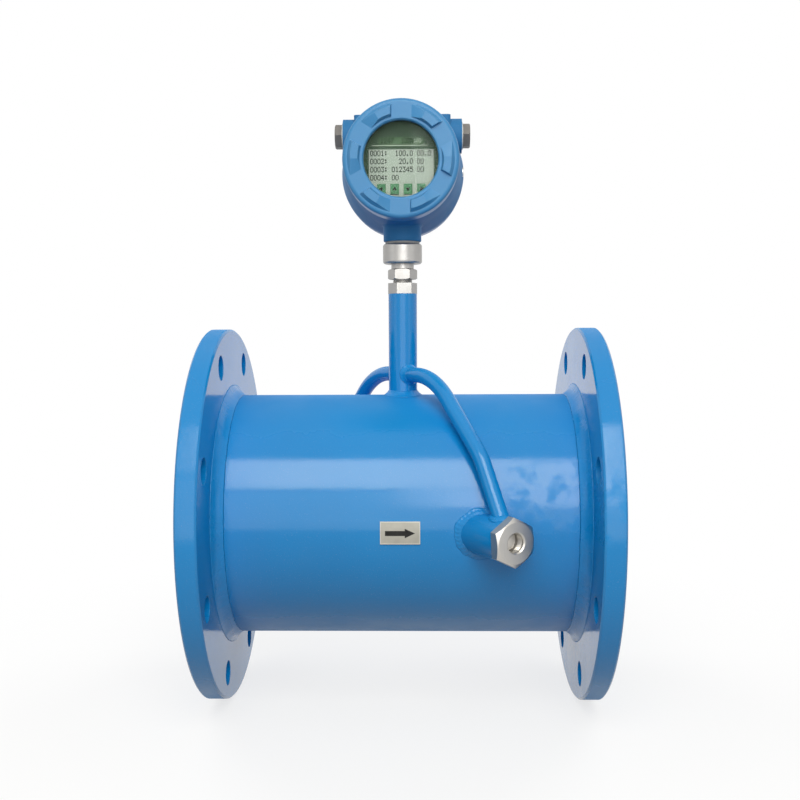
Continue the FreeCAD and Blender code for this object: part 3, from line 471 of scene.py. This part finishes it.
displayCell = {"pale": (0.37, 0.405, 0.36, 1), "deep": (0.315, 0.35, 0.31, 1),
               "frame": (0.06, 0.065, 0.06, 1), "halfWidth": 28.1, "bottom": -17.6, "top": 10.5,
               "behind": -37.0, "front": -38.5, "rows": 290.0, "faint": 0.35, "clouds": 45.0,
               "specular": 0.12, "low": 0.45, "high": 0.6, "peel": 0.000003}


def makeDisplayCell(name, cfg):
    # faint rows of unlit pixels over the cell's pale ground; its bezel behind the film is dark
    material, tree, shader = newMaterial(name)
    waves = addNode(tree, "ShaderNodeTexWave", wave_type="BANDS", bands_direction="Z")
    feed(tree, waves.inputs["Vector"], place(tree))
    waves.inputs["Scale"].default_value = cfg["rows"]
    rows = calc(tree, "MULTIPLY", waves.outputs["Fac"], cfg["faint"])
    cloud = spread(tree, noiseOf(tree, place(tree), cfg["clouds"], 3.0), 0.3, 0.75, 0.0, 0.6)
    ground = mixColor(tree, calc(tree, "ADD", rows, cloud, clamp=True), cfg["pale"], cfg["deep"])
    feed(tree, shader.inputs["Base Color"], mixColor(tree, zoneOf(tree, cfg), cfg["frame"], ground))
    feed(tree, shader.inputs["Roughness"], spread(tree, cloud, 0.0, 1.0, cfg["low"], cfg["high"]))
    shader.inputs["Specular IOR Level"].default_value = cfg["specular"]
    bumpFrom(tree, shader, waves.outputs["Fac"], cfg["peel"])
    return material


windowGlass = {"tint": (0.93, 0.97, 0.945, 1), "coated": 1.12, "clean": 0.0, "film": 0.003}


def makeGlass(name, cfg):
    material, tree, shader = newMaterial(name)
    shader.inputs["Base Color"].default_value = cfg["tint"]
    shader.inputs["Transmission Weight"].default_value = 1.0
    # lower than bare glass, so that the white surroundings don't veil the display
    shader.inputs["IOR"].default_value = cfg["coated"]
    film = filmOf(tree, 70.0, 0.1)
    feed(tree, shader.inputs["Roughness"], spread(tree, film, 0.3, 1.0, cfg["clean"], cfg["film"]))
    return material


arrowPlate = {"silver": (0.37, 0.355, 0.305, 1), "worn": (0.30, 0.288, 0.245, 1),
              "hair": (0.52, 0.51, 0.46, 1), "hairAmount": 0.35, "metal": 0.35, "low": 0.36, "high": 0.52,
              "brush": (40.0, 2500.0, 2500.0), "depth": 0.000006, "edgeWidth": 0.0002}
# the rim's lighter colour all round is a painted highlight for the light its raised edge catches
rimHighlightFinish = dict(arrowPlate, silver=(0.60, 0.585, 0.50, 1), worn=(0.52, 0.505, 0.43, 1))


def makePlate(name, cfg):
    # satin plate, brushed along its length
    material, tree, shader = newMaterial(name)
    hair = noiseOf(tree, vectorCalc(tree, "MULTIPLY", place(tree), cfg["brush"]), 1.0, 3.0)
    film = filmOf(tree, 110.0, 0.3)
    color = mixColor(tree, film, cfg["silver"], cfg["worn"])
    brushed = mixColor(tree, calc(tree, "MULTIPLY", hair, cfg["hairAmount"]), color, cfg["hair"])
    feed(tree, shader.inputs["Base Color"], brushed)
    shader.inputs["Metallic"].default_value = cfg["metal"]
    feed(tree, shader.inputs["Roughness"], spread(tree, hair, 0.2, 0.8, cfg["low"], cfg["high"]))
    bumpFrom(tree, shader, hair, cfg["depth"], normal=softEdges(tree, cfg["edgeWidth"]))
    return material


circuitBoard = {"mask": (0.012, 0.11, 0.045, 1), "trace": (0.02, 0.19, 0.08, 1), "pad": (0.62, 0.6, 0.5, 1),
                "tracks": 330.0, "gap": 0.06, "pads": 380.0, "padEdge": (0.22, 0.18), "depth": 0.00002}


def makeBoard(name, cfg):
    # solder mask over copper traces, with tinned pads
    material, tree, shader = newMaterial(name)
    grid = addNode(tree, "ShaderNodeTexBrick", offset=0.37)
    turned = addNode(tree, "ShaderNodeMapping")
    turned.inputs["Rotation"].default_value = (math.radians(90), 0, 0)
    feed(tree, turned.inputs["Vector"], place(tree))
    feed(tree, grid.inputs["Vector"], turned.outputs[0])
    grid.inputs["Scale"].default_value = cfg["tracks"]
    grid.inputs["Mortar Size"].default_value = cfg["gap"]
    dots = addNode(tree, "ShaderNodeTexVoronoi")
    feed(tree, dots.inputs["Vector"], place(tree))
    dots.inputs["Scale"].default_value = cfg["pads"]
    pad = spread(tree, dots.outputs["Distance"], *cfg["padEdge"])
    ground = mixColor(tree, grid.outputs["Fac"], cfg["mask"], cfg["trace"])
    feed(tree, shader.inputs["Base Color"], mixColor(tree, pad, ground, cfg["pad"]))
    feed(tree, shader.inputs["Roughness"], spread(tree, pad, 0.0, 1.0, 0.3, 0.42))
    feed(tree, shader.inputs["Metallic"], calc(tree, "MULTIPLY", pad, 0.9))
    bumpFrom(tree, shader, grid.outputs["Fac"], cfg["depth"])
    return material


recipes = [("glossPaint", makeGlossPaint, glossPaint), ("beadPaint", makeGlossPaint, beadCoat),
           ("headEnamel", makeEnamel, enamel), ("housingShadedEnamel", makeEnamel, housingShadedEnamel),
           ("faceplateFilm", makeFaceplate, faceplatePrint), ("displayCell", makeDisplayCell, displayCell),
           ("windowGlass", makeGlass, windowGlass), ("plateSatin", makePlate, arrowPlate),
           ("plateRim", makePlate, rimHighlightFinish), ("circuitBoard", makeBoard, circuitBoard)]
recipes += [(name, makeSteel, cfg) for name, cfg in steelFinishes.items()]
recipes += [(name, makeMoulding, dict(mouldingSkin, **cfg)) for name, cfg in mouldings.items()]
finishes = {name: make(name, cfg) for name, make, cfg in recipes}

# what each material slot of the source is finished with
slotFinish = {"gloss_blue_paint": "glossPaint", "head_blue_enamel": "headEnamel", "plug_steel": "plugSteel",
              "screw_steel": "screwSteel", "black_rubber": "rubberBlack", "grey_gasket": "gasketGrey",
              "cable_sheath": "cableSheath", "black_plastic": "plasticBlack", "plate_aluminium": "plateSatin",
              "window_glass": "windowGlass", "black_anodised_ring": "ringAnodised",
              "white_nylon": "nylonWhite", "faceplate_green": "faceplateFilm", "lcd_cell": "displayCell",
              "key_green": "keyGreen", "circuit_board": "circuitBoard", "standoff_brass": "standoffBrass",
              "terminal_grey": "terminalGrey", "turned_stainless": "stainlessStem"}
for part in frame["record"]["subparts"]:
    name, slot = part["node"], part["material_slot"]
    finish = slotFinish[slot]
    if slot == "turned_stainless" and name.startswith(("front_", "rear_")):
        finish = "stainlessPort"
    # the housing takes the darkened copy of the enamel, painted shade
    if name == "transmitter_housing":
        finish = "housingShadedEnamel"
    for held in nodes[name].material_slots:
        held.material = finishes[finish]
print("materials:", len(bpy.data.materials))


def addPiece(name, verts, faces, material, body, slot, smooth=True, replaces=()):
    mesh = bpy.data.meshes.new(name)
    mesh.from_pydata([tuple(v) for v in verts], [], faces)
    work = bmesh.new()
    work.from_mesh(mesh)
    bmesh.ops.recalc_face_normals(work, faces=work.faces)
    work.to_mesh(mesh)
    work.free()
    for face in mesh.polygons:
        face.use_smooth = smooth
    piece = bpy.data.objects.new(name, mesh)
    piece.data.materials.append(finishes[material])
    scene.collection.objects.link(piece)
    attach(piece, body)
    if replaces:
        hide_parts(*replaces)
    return piece


def crossFrame(axis):
    # two directions square to an axis, the first one as near to Z as it can be
    first = axisZ - axis * axis.dot(axisZ)
    if first.length < 0.1:
        first = axisX - axis * axis.dot(axisX)
    first.normalize()
    return first, axis.cross(first).normalized()


def unit(vector):
    return vector / vector.length


# how a bead's closed section sits in its corner, and how often its length is measured
beadSection = {"steps": 13, "core": 0.4 * mm, "sunk": 0.25 * mm, "toe": 0.97, "samples": 60,
               "grain": 180.0, "jitter": 0.22, "sharp": 1.6}


def beadRing(seam, cfg, seed):
    # seam gives, for a turn from 0 to 1, the corner point and the two toe directions
    steps, wander, bow = cfg["steps"], cfg["wander"], cfg["bow"]
    leg, crown, high, pitch, depth = (cfg[k] * mm for k in ("leg", "crown", "ridge", "pitch", "depth"))
    sectionSteps, sunk, toe = beadSection["steps"], beadSection["sunk"], beadSection["toe"]
    farLeg = cfg["spread"] * mm if "spread" in cfg else leg
    rows = []
    points = [seam(i / beadSection["samples"])[0] for i in range(beadSection["samples"] + 1)]
    length = sum((a - b).length for a, b in zip(points, points[1:]))
    ripples = max(8, round(length / pitch))
    for i in range(steps):
        turn = i / steps
        corner, toeA, toeB = seam(turn)
        spot = corner * beadSection["grain"] + Vector((seed, 0, 0))
        reachA = farLeg * (1 + wander * noise.noise(spot))
        reachB = leg * (1 + wander * noise.noise(spot + Vector((0, 37, 0))))
        inward = -unit(toeA + toeB)
        fade = 0.5 + 0.5 * math.cos(2 * math.pi * turn)
        row = [corner + inward * beadSection["core"], corner + toeA * reachA * toe + inward * sunk]
        for j in range(sectionSteps + 1):
            s = j / sectionSteps
            base = corner + toeA * reachA * (1 - s) + toeB * reachB * s
            bulge = 4 * s * (1 - s)
            phase = turn * ripples - bow * bulge + beadSection["jitter"] * noise.noise(spot * 0.6)
            wave = (0.5 + 0.5 * math.cos(2 * math.pi * phase)) ** beadSection["sharp"]
            lump = 1 + 0.5 * noise.noise(spot * 0.35 + Vector((0, 0, 9)))
            strand = math.sin(2 * math.pi * (2 * s + 0.35 * noise.noise(spot * 0.3)))
            ridge = high * fade * strand * bulge ** 0.5
            lift = crown * bulge * lump + ridge + depth * bulge ** 0.5 * (wave - 0.5)
            row.append(base - inward * lift)
        row.append(corner + toeB * reachB * toe + inward * sunk)
        rows.append(row)
    width = len(rows[0])
    verts = [v for row in rows for v in row]
    faces = []
    for i in range(steps):
        for j in range(width):
            a, b = i * width + j, i * width + (j + 1) % width
            c, d = ((i + 1) % steps) * width + (j + 1) % width, ((i + 1) % steps) * width + j
            faces.append((a, b, c, d))
    return verts, faces


def joined(parts):
    verts, faces = [], []
    for partVerts, partFaces in parts:
        start = len(verts)
        verts.extend(partVerts)
        faces.extend(tuple(start + k for k in face) for face in partFaces)
    return verts, faces


def bossOnPipe(sign):
    # seam where a port's boss meets the tube; sign is 1 for the front port, -1 for the rear one
    axis = meter["portDir"] * sign
    up, across = crossFrame(axis)
    radius, pipeR = meter["bossR"], meter["pipeR"]

    def seam(turn):
        a = 2 * math.pi * turn
        side = up * math.cos(a) + across * math.sin(a)
        offset = side * radius
        level = -sign * math.sqrt(pipeR ** 2 - offset.z ** 2)
        reach = (level - offset.y) / axis.y
        corner = axis * reach + offset
        pipeNormal = unit(Vector((0, corner.y, corner.z)))
        toeB = unit(axis)
        toeA = unit(side - pipeNormal * side.dot(pipeNormal))
        return corner, toeA, toeB
    return seam


def stemOnPipe(turn):
    a = 2 * math.pi * turn
    side = Vector((math.cos(a), math.sin(a), 0))
    x, y = side.x * meter["stemR"], side.y * meter["stemR"]
    corner = Vector((x, y, math.sqrt(meter["pipeR"] ** 2 - y ** 2)))
    pipeNormal = unit(Vector((0, corner.y, corner.z)))
    return corner, unit(side - pipeNormal * side.dot(pipeNormal)), axisZ


def flangeSeam(x, radius, outward, side):
    # a ring about the tube's axis; outward is along X, side is 1 outside the tube and -1 in its bore
    def seam(turn):
        a = 2 * math.pi * turn
        radial = Vector((0, math.cos(a), math.sin(a)))
        return Vector((x, 0, 0)) + radial * radius, radial * side, axisX * outward
    return seam


def conduitOnStem(sign):
    axis = meter["portDir"] * sign
    up, across = crossFrame(axis)
    radius = meter["conduitR"]

    def seam(turn):
        a = 2 * math.pi * turn
        side = up * math.cos(a) + across * math.sin(a)
        reach = math.sqrt(meter["stemR"] ** 2 - (radius * math.sin(a)) ** 2)
        corner = axisZ * meter["conduitZ"] + axis * reach + side * radius
        stemNormal = unit(Vector((corner.x, corner.y, 0)))
        return corner, unit(side - stemNormal * side.dot(stemNormal)), axis
    return seam


def conduitOnBoss(sign):
    port = meter["portDir"] * sign
    knee = port * meter["conduitKnee"][0] + axisZ * meter["conduitKnee"][1]
    foot = port * meter["conduitFoot"]
    axis = unit(knee - foot)
    up, across = crossFrame(axis)
    radius, bossR = meter["conduitR"], meter["bossR"]

    def seam(turn):
        a = 2 * math.pi * turn
        side = up * math.cos(a) + across * math.sin(a)
        start = foot + side * radius
        flatStart, flatAxis = start - port * start.dot(port), axis - port * axis.dot(port)
        qa, qb = flatAxis.length_squared, 2 * flatStart.dot(flatAxis)
        qc = flatStart.length_squared - bossR ** 2
        reach = (-qb + math.sqrt(qb * qb - 4 * qa * qc)) / (2 * qa)
        corner = start + axis * reach
        bossNormal = unit(corner - port * corner.dot(port))
        return corner, unit(side - bossNormal * side.dot(bossNormal)), axis
    return seam


# in mm: leg is the reach along each side, crown the height over a flat face, ridge the height of two
# strands side by side; pitch, depth and bow say how the ripples run
beads = {
    "port": {"leg": 4.1, "crown": -0.15, "steps": 560, "wander": 0.3, "ridge": 0.12,
             "pitch": 3.4, "depth": 0.2, "bow": 0.45},
    "stem": {"leg": 4.6, "crown": -0.5, "steps": 380, "wander": 0.12, "ridge": 0.04,
             "pitch": 2.8, "depth": 0.1, "bow": 0.45},
    "conduit": {"leg": 3.0, "crown": 0.3, "steps": 260, "wander": 0.2, "ridge": 0.06,
                "pitch": 2.2, "depth": 0.12, "bow": 0.4},
    "conduitTop": {"leg": 3.7, "spread": 2.9, "crown": -0.35, "steps": 300, "wander": 0.16,
                   "ridge": 0.03, "pitch": 2.4, "depth": 0.06, "bow": 0.4},
    "flangeOuter": {"leg": 9.7, "crown": -1.5, "steps": 1500, "wander": 0.03, "ridge": 0.03,
                    "pitch": 4.4, "depth": 0.05, "bow": 0.6},
    "flangeInner": {"leg": 4.9, "crown": -0.3, "steps": 1500, "wander": 0.05, "ridge": 0.05,
                    "pitch": 3.4, "depth": 0.12, "bow": 0.5},
}


def bead(kind, seam, seed):
    return beadRing(seam, beads[kind], seed)


def addBeads(name, rings, weld):
    # takes the place of the source's plain weld
    addPiece(name, *joined(rings), "beadPaint", "meter_body", "gloss_blue_paint", replaces=(weld,))


def makeWelds():
    for name, sign in (("front", 1), ("rear", -1)):
        addBeads(name + "_port_bead", [bead("port", bossOnPipe(sign), 3 + sign)], name + "_port_weld")
        addBeads(name + "_conduit_beads", [bead("conduitTop", conduitOnStem(sign), 11 + sign),
                                           bead("conduit", conduitOnBoss(sign), 17 + sign)],
                 name + "_conduit_welds")
    addBeads("stem_bead", [bead("stem", stemOnPipe, 23)], "stem_weld")
    for name, sign in (("inlet", -1), ("outlet", 1)):
        back, end = sign * (meter["faceX"] - meter["flangeThick"]), sign * meter["pipeEndX"]
        boreFit = meter["pipeR"] + 0.2 * mm  # the flange's bore is this much wider than the pipe
        addBeads(name + "_flange_beads",
                 [bead("flangeOuter", flangeSeam(back, meter["pipeR"], -sign, 1), 31 + sign),
                  bead("flangeInner", flangeSeam(end, boreFit, sign, -1), 41 + sign)], name + "_flange_weld")


makeWelds()
print("weld beads done")


arrow = {"left": -13.4, "right": 11.45, "neck": 2.9, "shaftHalf": 2.1, "headHalf": 4.0, "drop": -0.3,
         "plateLeft": -17.5, "plateRight": 15.7, "plateHalf": 9.5, "rim": 0.75, "faceR": 110.45, "tilt": 0.7,
         "arrowLayer": (-0.05, 0.06), "rimLayer": (-0.1, 0.1)}


def bentPlate(outline, low, high, cfg, step=0.5):
    # a flat outline in mm is cut into strips and laid round the tube between two heights over the plate
    work = bmesh.new()
    work.faces.new([work.verts.new((x, s, 0)) for x, s in outline])
    lowest, highest = min(s for x, s in outline), max(s for x, s in outline)
    cut = lowest + step
    while cut < highest - 0.01:
        everything = work.verts[:] + work.edges[:] + work.faces[:]
        bmesh.ops.bisect_plane(work, geom=everything, plane_co=(0, cut, 0), plane_no=(0, 1, 0))
        cut += step
    top = bmesh.ops.extrude_face_region(work, geom=work.faces[:])
    for item in top["geom"]:
        if isinstance(item, bmesh.types.BMVert):
            item.co.z = 1
    verts = []
    for index, vert in enumerate(work.verts):
        vert.index = index
        radius = cfg["faceR"] + (high if vert.co.z > 0.5 else low)
        angle = vert.co.y / cfg["faceR"] + math.radians(cfg["tilt"])
        verts.append(Vector((vert.co.x, -radius * math.cos(angle), radius * math.sin(angle))) * mm)
    faces = [tuple(v.index for v in face.verts) for face in work.faces]
    work.free()
    return verts, faces


def makeArrow(cfg):
    shaft, head, drop = cfg["shaftHalf"], cfg["headHalf"], cfg["drop"]
    outline = [(cfg["left"], drop - shaft), (cfg["neck"], drop - shaft), (cfg["neck"], drop - head),
               (cfg["right"], drop), (cfg["neck"], drop + head), (cfg["neck"], drop + shaft),
               (cfg["left"], drop + shaft)]
    addPiece("flow_arrow", *bentPlate(outline, *cfg["arrowLayer"], cfg), "inkBlack", "meter_body",
             "black_plastic", False)
    left, right, half, rim = cfg["plateLeft"], cfg["plateRight"], cfg["plateHalf"], cfg["rim"]
    inner = half - rim
    strips = [[(left, inner), (right, inner), (right, half), (left, half)],
              [(left, -half), (right, -half), (right, -inner), (left, -inner)],
              [(left, -inner), (left + rim, -inner), (left + rim, inner), (left, inner)],
              [(right - rim, -inner), (right, -inner), (right, inner), (right - rim, inner)]]
    # the raised rim takes the lighter colour, a painted highlight
    addPiece("plate_rim", *joined([bentPlate(strip, *cfg["rimLayer"], cfg) for strip in strips]), "plateRim",
             "meter_body", "plate_aluminium", False)


makeArrow(arrow)


# how each thread is meshed, fades out at its ends and slopes from root to crest
threadForm = {"segments": 72, "perPitch": 8, "fade": 4.0, "least": 0.02, "slope": 1.35, "flat": 0.12}


def threadShell(axis, start, end, cfg, form=threadForm):
    # a screw surface between root and crest, closed against a plain wall radius
    up, across = crossFrame(axis)
    wallR, rootR, crestR, pitch = cfg["wall"], cfg["root"], cfg["crest"], cfg["pitch"]
    segments = form["segments"]
    rows = max(2, round((end - start) / pitch * form["perPitch"]))
    verts, faces = [], []
    for i in range(rows + 1):
        s = start + (end - start) * i / rows
        fade = min(1.0, form["fade"] * min(i, rows - i) / rows + form["least"])
        for j in range(segments):
            a = 2 * math.pi * j / segments
            saw = abs(((s / pitch - j / segments) % 1.0) * 2 - 1)
            flank = min(1.0, max(0.0, saw * form["slope"] - form["flat"]))
            radius = rootR + (crestR - rootR) * fade * flank
            side = up * math.cos(a) + across * math.sin(a)
            verts.append(axis * s + side * radius)
            verts.append(axis * s + side * wallR)

    def at(i, j, k):
        return (i * segments + j % segments) * 2 + k
    for i in range(rows):
        for j in range(segments):
            faces.append((at(i, j, 0), at(i, j + 1, 0), at(i + 1, j + 1, 0), at(i + 1, j, 0)))
            faces.append((at(i, j, 1), at(i + 1, j, 1), at(i + 1, j + 1, 1), at(i, j + 1, 1)))
    for j in range(segments):
        faces.append((at(0, j, 0), at(0, j, 1), at(0, j + 1, 1), at(0, j + 1, 0)))
        faces.append((at(rows, j, 0), at(rows, j + 1, 0), at(rows, j + 1, 1), at(rows, j, 1)))
    return verts, faces


socketThread = {"mouth": 1.2 * mm, "depth": 10.6 * mm, "wall": 7.95 * mm, "root": 7.8 * mm, "crest": 7.3 * mm,
                "pitch": 1.337 * mm}
stubThread = {"start": 211.35 * mm, "end": 214.15 * mm, "wall": 8.0 * mm, "root": 8.27 * mm,
              "crest": 8.75 * mm, "pitch": 1.1 * mm}


def makeThreads(inside, stub):
    for name, sign in (("front", 1), ("rear", -1)):
        deep, mouth = meter["capEnd"] - inside["depth"], meter["capEnd"] - inside["mouth"]
        addPiece(name + "_socket_thread", *threadShell(meter["portDir"] * sign, deep, mouth, inside),
                 "stainlessPort", "meter_body", "turned_stainless")
    addPiece("adapter_thread", *threadShell(axisZ, stub["start"], stub["end"], stub),
             "stainlessStem", "meter_body", "turned_stainless")


makeThreads(socketThread, stubThread)
print("arrow and threads done")


# seven rows of five pixels for each figure, two characters a row
digits = {"0": "0E11111111110E", "1": "040C040404040E", "2": "0E11010204081F", "3": "1F02040201110E",
          "4": "02060A121F0202", "5": "1F101E0101110E", "6": "0608101E11110E", "7": "1F010204080808",
          "8": "0E11110E11110E", "9": "0E11110F01020C", ":": "000C0C000C0C00", ".": "00000000000C0C"}
display = {"pixelX": 0.52, "pixelZ": 0.66, "swell": 1.2, "left": -26.6, "advance": 6, "ink": 0.03,
           "rows": (("0001:  100.0 00.0", 7.1), ("0002:   20.0 00", 0.3), ("0003: 012345 00", -6.6),
                    ("0004: 00", -13.5)),
           "gap": 0.005,
           "header": {"text": "1247  1350", "left": -17.5, "z": 17.6, "size": 0.95, "bold": 1.5},
           "count": {"text": "100", "left": 11.0, "z": 17.6, "size": 0.7},
           "field": {"left": -19.5, "right": 19.5, "low": 14.7, "high": 20.6, "thick": 0.012},
           "rule": {"left": -25.5, "right": 23.0, "low": 13.32, "high": 13.88, "thick": 0.04}}
boxFaces = ((0, 1, 2, 3), (7, 6, 5, 4), (0, 4, 5, 1), (1, 5, 6, 2), (2, 6, 7, 3), (3, 7, 4, 0))


def pixelBoxes(text, left, middle, front, cfg, scale=1.0):
    # every lit pixel of a row of 5 x 7 figures, as a thin raised square
    stepX, stepZ = cfg["pixelX"] * scale, cfg["pixelZ"] * scale
    verts, faces = [], []
    for position, figure in enumerate(text):
        if figure == " ":
            continue
        code = digits[figure]
        for row in range(7):
            bits = int(code[2 * row:2 * row + 2], 16)
            for column in range(5):
                if not bits >> (4 - column) & 1:
                    continue
                x = left + (position * cfg["advance"] + column) * stepX
                z = middle + (3 - row) * stepZ
                half = stepX / 2 * cfg["swell"]
                tall = half + (stepZ - stepX) / 2
                start = len(verts)
                for y in (front, front - cfg["ink"]):
                    for dx, dz in ((-half, -tall), (half, -tall), (half, tall), (-half, tall)):
                        verts.append(Vector((x + dx, y, z + dz)) * mm + headAxis)
                faces.extend(tuple(start + k for k in face) for face in boxFaces)
    return verts, faces


def bar(cfg, back):
    left, right, low, high = cfg["left"], cfg["right"], cfg["low"], cfg["high"]
    verts = [Vector((x, y, z)) * mm + headAxis for y in (back, back - cfg["thick"])
             for x, z in ((left, low), (right, low), (right, high), (left, high))]
    return verts, boxFaces


def makeDisplay(cfg):
    # the figures start a hair inside the cell and the film, and stand proud of them
    cell, film = meter["lcdY"] / mm + cfg["gap"], meter["faceplateY"] / mm + cfg["gap"]
    lines = [pixelBoxes(text, cfg["left"], z, cell, cfg) for text, z in cfg["rows"]]
    addPiece("display_figures", *joined(lines), "pixelDark", "head", "lcd_cell", False)
    header, count = cfg["header"], cfg["count"]
    bold = dict(cfg, swell=header["bold"])
    printed = (("header_field", "printField", bar(cfg["field"], film)),
               ("header_figures", "printGreen",
                pixelBoxes(header["text"], header["left"], header["z"], film, bold, header["size"])),
               ("header_count", "printPale",
                pixelBoxes(count["text"], count["left"], count["z"], film, cfg, count["size"])),
               ("header_rule", "printPale", bar(cfg["rule"], film)))
    for name, ink, shape in printed:
        addPiece(name, *shape, ink, "head", "faceplate_green", False)


makeDisplay(display)

keyMarks = {"centre": -23.3, "pitch": 11.55, "face": -39.2, "radius": 2.28, "sunk": 0.01, "high": 0.06,
            "turns": {"key_left": 90, "key_up": 0, "key_down": 180, "key_enter": 270}}


def makeKeyMarks(cfg):
    # a small triangle on each key, pointing its own way
    for index, (key, turn) in enumerate(cfg["turns"].items()):
        middle = cfg["pitch"] * (index - 1.5)
        verts = []
        for y in (cfg["face"] + cfg["sunk"], cfg["face"] - cfg["high"]):
            for corner in (90, 210, 330):
                a = math.radians(corner + turn)
                x, z = middle + cfg["radius"] * math.cos(a), cfg["centre"] + cfg["radius"] * math.sin(a)
                verts.append(Vector((x, y, z)) * mm + headAxis)
        faces = [(0, 1, 2), (5, 4, 3), (0, 3, 4, 1), (1, 4, 5, 2), (2, 5, 3, 0)]
        addPiece(key + "_mark", verts, faces, "inkBlack", key, "key_green", False)


makeKeyMarks(keyMarks)
print("display done")


studio = {"floorZ": -0.1701, "floorSize": 9.0, "bounce": (0.22, 0.22, 0.22, 1), "shown": (0.9, 0.9, 0.9, 1),
          "whiteNear": 0.74, "whiteFrom": 0.3, "whiteTo": 0.62, "fill": 0.24,
          "aim": Vector((0, -0.05, 0.05)), "tint": {"keyUpper": (1.0, 0.975, 0.88)},
          "unmirrored": ("backLeft", "backRight")}
# each one's name, elevation and azimuth in degrees about the meter, distance in metres, span up and
# across in degrees, and radiance; keyUpper and keyStep make the pale band along the tube
softboxes = (("keyUpper", 44.5, 0, 1.45, 29, 35, 6.0), ("keyLower", 10, 0, 1.45, 36, 42, 1.4),
             ("keyStep", 21.2, 10.5, 1.42, 17.5, 20, 4.0), ("sideLeft", 14, -62, 1.5, 44, 22, 0.5),
             ("sideRight", 14, 58, 1.5, 44, 18, 0.5), ("overhead", 82, 0, 1.5, 40, 44, 0.25),
             ("backLeft", 30, -136, 1.5, 38, 36, 3.0), ("backRight", 30, 136, 1.5, 38, 36, 3.0))


def makeSoftbox(name, elevation, azimuth, far, spanUp, spanAcross, radiance):
    up, side = math.radians(elevation), math.radians(azimuth)
    away = Vector((math.sin(side) * math.cos(up), -math.cos(side) * math.cos(up), math.sin(up)))
    data = bpy.data.lights.new(name, "AREA")
    data.shape = "RECTANGLE"
    data.size = 2 * far * math.tan(math.radians(spanAcross / 2))
    data.size_y = 2 * far * math.tan(math.radians(spanUp / 2))
    data.color = studio["tint"].get(name, (1, 1, 1))
    data.energy = radiance * math.pi * data.size * data.size_y
    lamp = bpy.data.objects.new(name, data)
    lamp.location = away * far + studio["aim"]
    lamp.visible_glossy = name not in studio["unmirrored"]
    lamp.rotation_euler = away.to_track_quat("Z", "Y").to_euler()
    scene.collection.objects.link(lamp)


def meetsBackground(tree, path):
    # 1 for what the camera sees, straight, in a mirror or through glass
    mirrored = calc(tree, "MAXIMUM", path["Is Glossy Ray"], path["Is Transmission Ray"])
    return calc(tree, "MAXIMUM", path["Is Camera Ray"], mirrored)


def makeFloor(cfg):
    # seen near white with the object's shadow; it lights the object less than it shows
    size = cfg["floorSize"]
    mesh = bpy.data.meshes.new("studioFloor")
    corners = [(-size, -size, 0), (size, -size, 0), (size, size, 0), (-size, size, 0)]
    mesh.from_pydata(corners, [], [(0, 1, 2, 3)])
    floor = bpy.data.objects.new("studioFloor", mesh)
    floor.location.z = cfg["floorZ"]
    scene.collection.objects.link(floor)
    material, tree, shader = newMaterial("paleFloor")
    path = addNode(tree, "ShaderNodeLightPath").outputs
    seen = meetsBackground(tree, path)
    feed(tree, shader.inputs["Base Color"], mixColor(tree, seen, cfg["bounce"], cfg["shown"]))
    shader.inputs["Roughness"].default_value = 0.9
    shader.inputs["Specular IOR Level"].default_value = 0.1
    away = vectorCalc(tree, "LENGTH", place(tree), None, "Value")
    share = spread(tree, away, cfg["whiteFrom"], cfg["whiteTo"], cfg["whiteNear"], 1.0)
    glow = addNode(tree, "ShaderNodeEmission")
    blend = addNode(tree, "ShaderNodeMixShader")
    feed(tree, blend.inputs[0], calc(tree, "MULTIPLY", seen, share))
    tree.links.new(shader.outputs[0], blend.inputs[1])
    tree.links.new(glow.outputs[0], blend.inputs[2])
    tree.links.new(blend.outputs[0], tree.nodes["Material Output"].inputs["Surface"])
    mesh.materials.append(material)


def makeWorld(cfg):
    # white wherever it is seen, and a soft fill on the object
    world = bpy.data.worlds.new("studioWorld")
    world.use_nodes = True
    scene.world = world
    tree = world.node_tree
    seen = meetsBackground(tree, addNode(tree, "ShaderNodeLightPath").outputs)
    feed(tree, tree.nodes["Background"].inputs["Strength"], spread(tree, seen, 0.0, 1.0, cfg["fill"], 1.0))
    tree.nodes["Background"].inputs["Color"].default_value = (1, 1, 1, 1)


makeFloor(studio)
makeWorld(studio)
for softbox in softboxes:
    makeSoftbox(*softbox)
print("studio done:", len(softboxes), "softboxes")
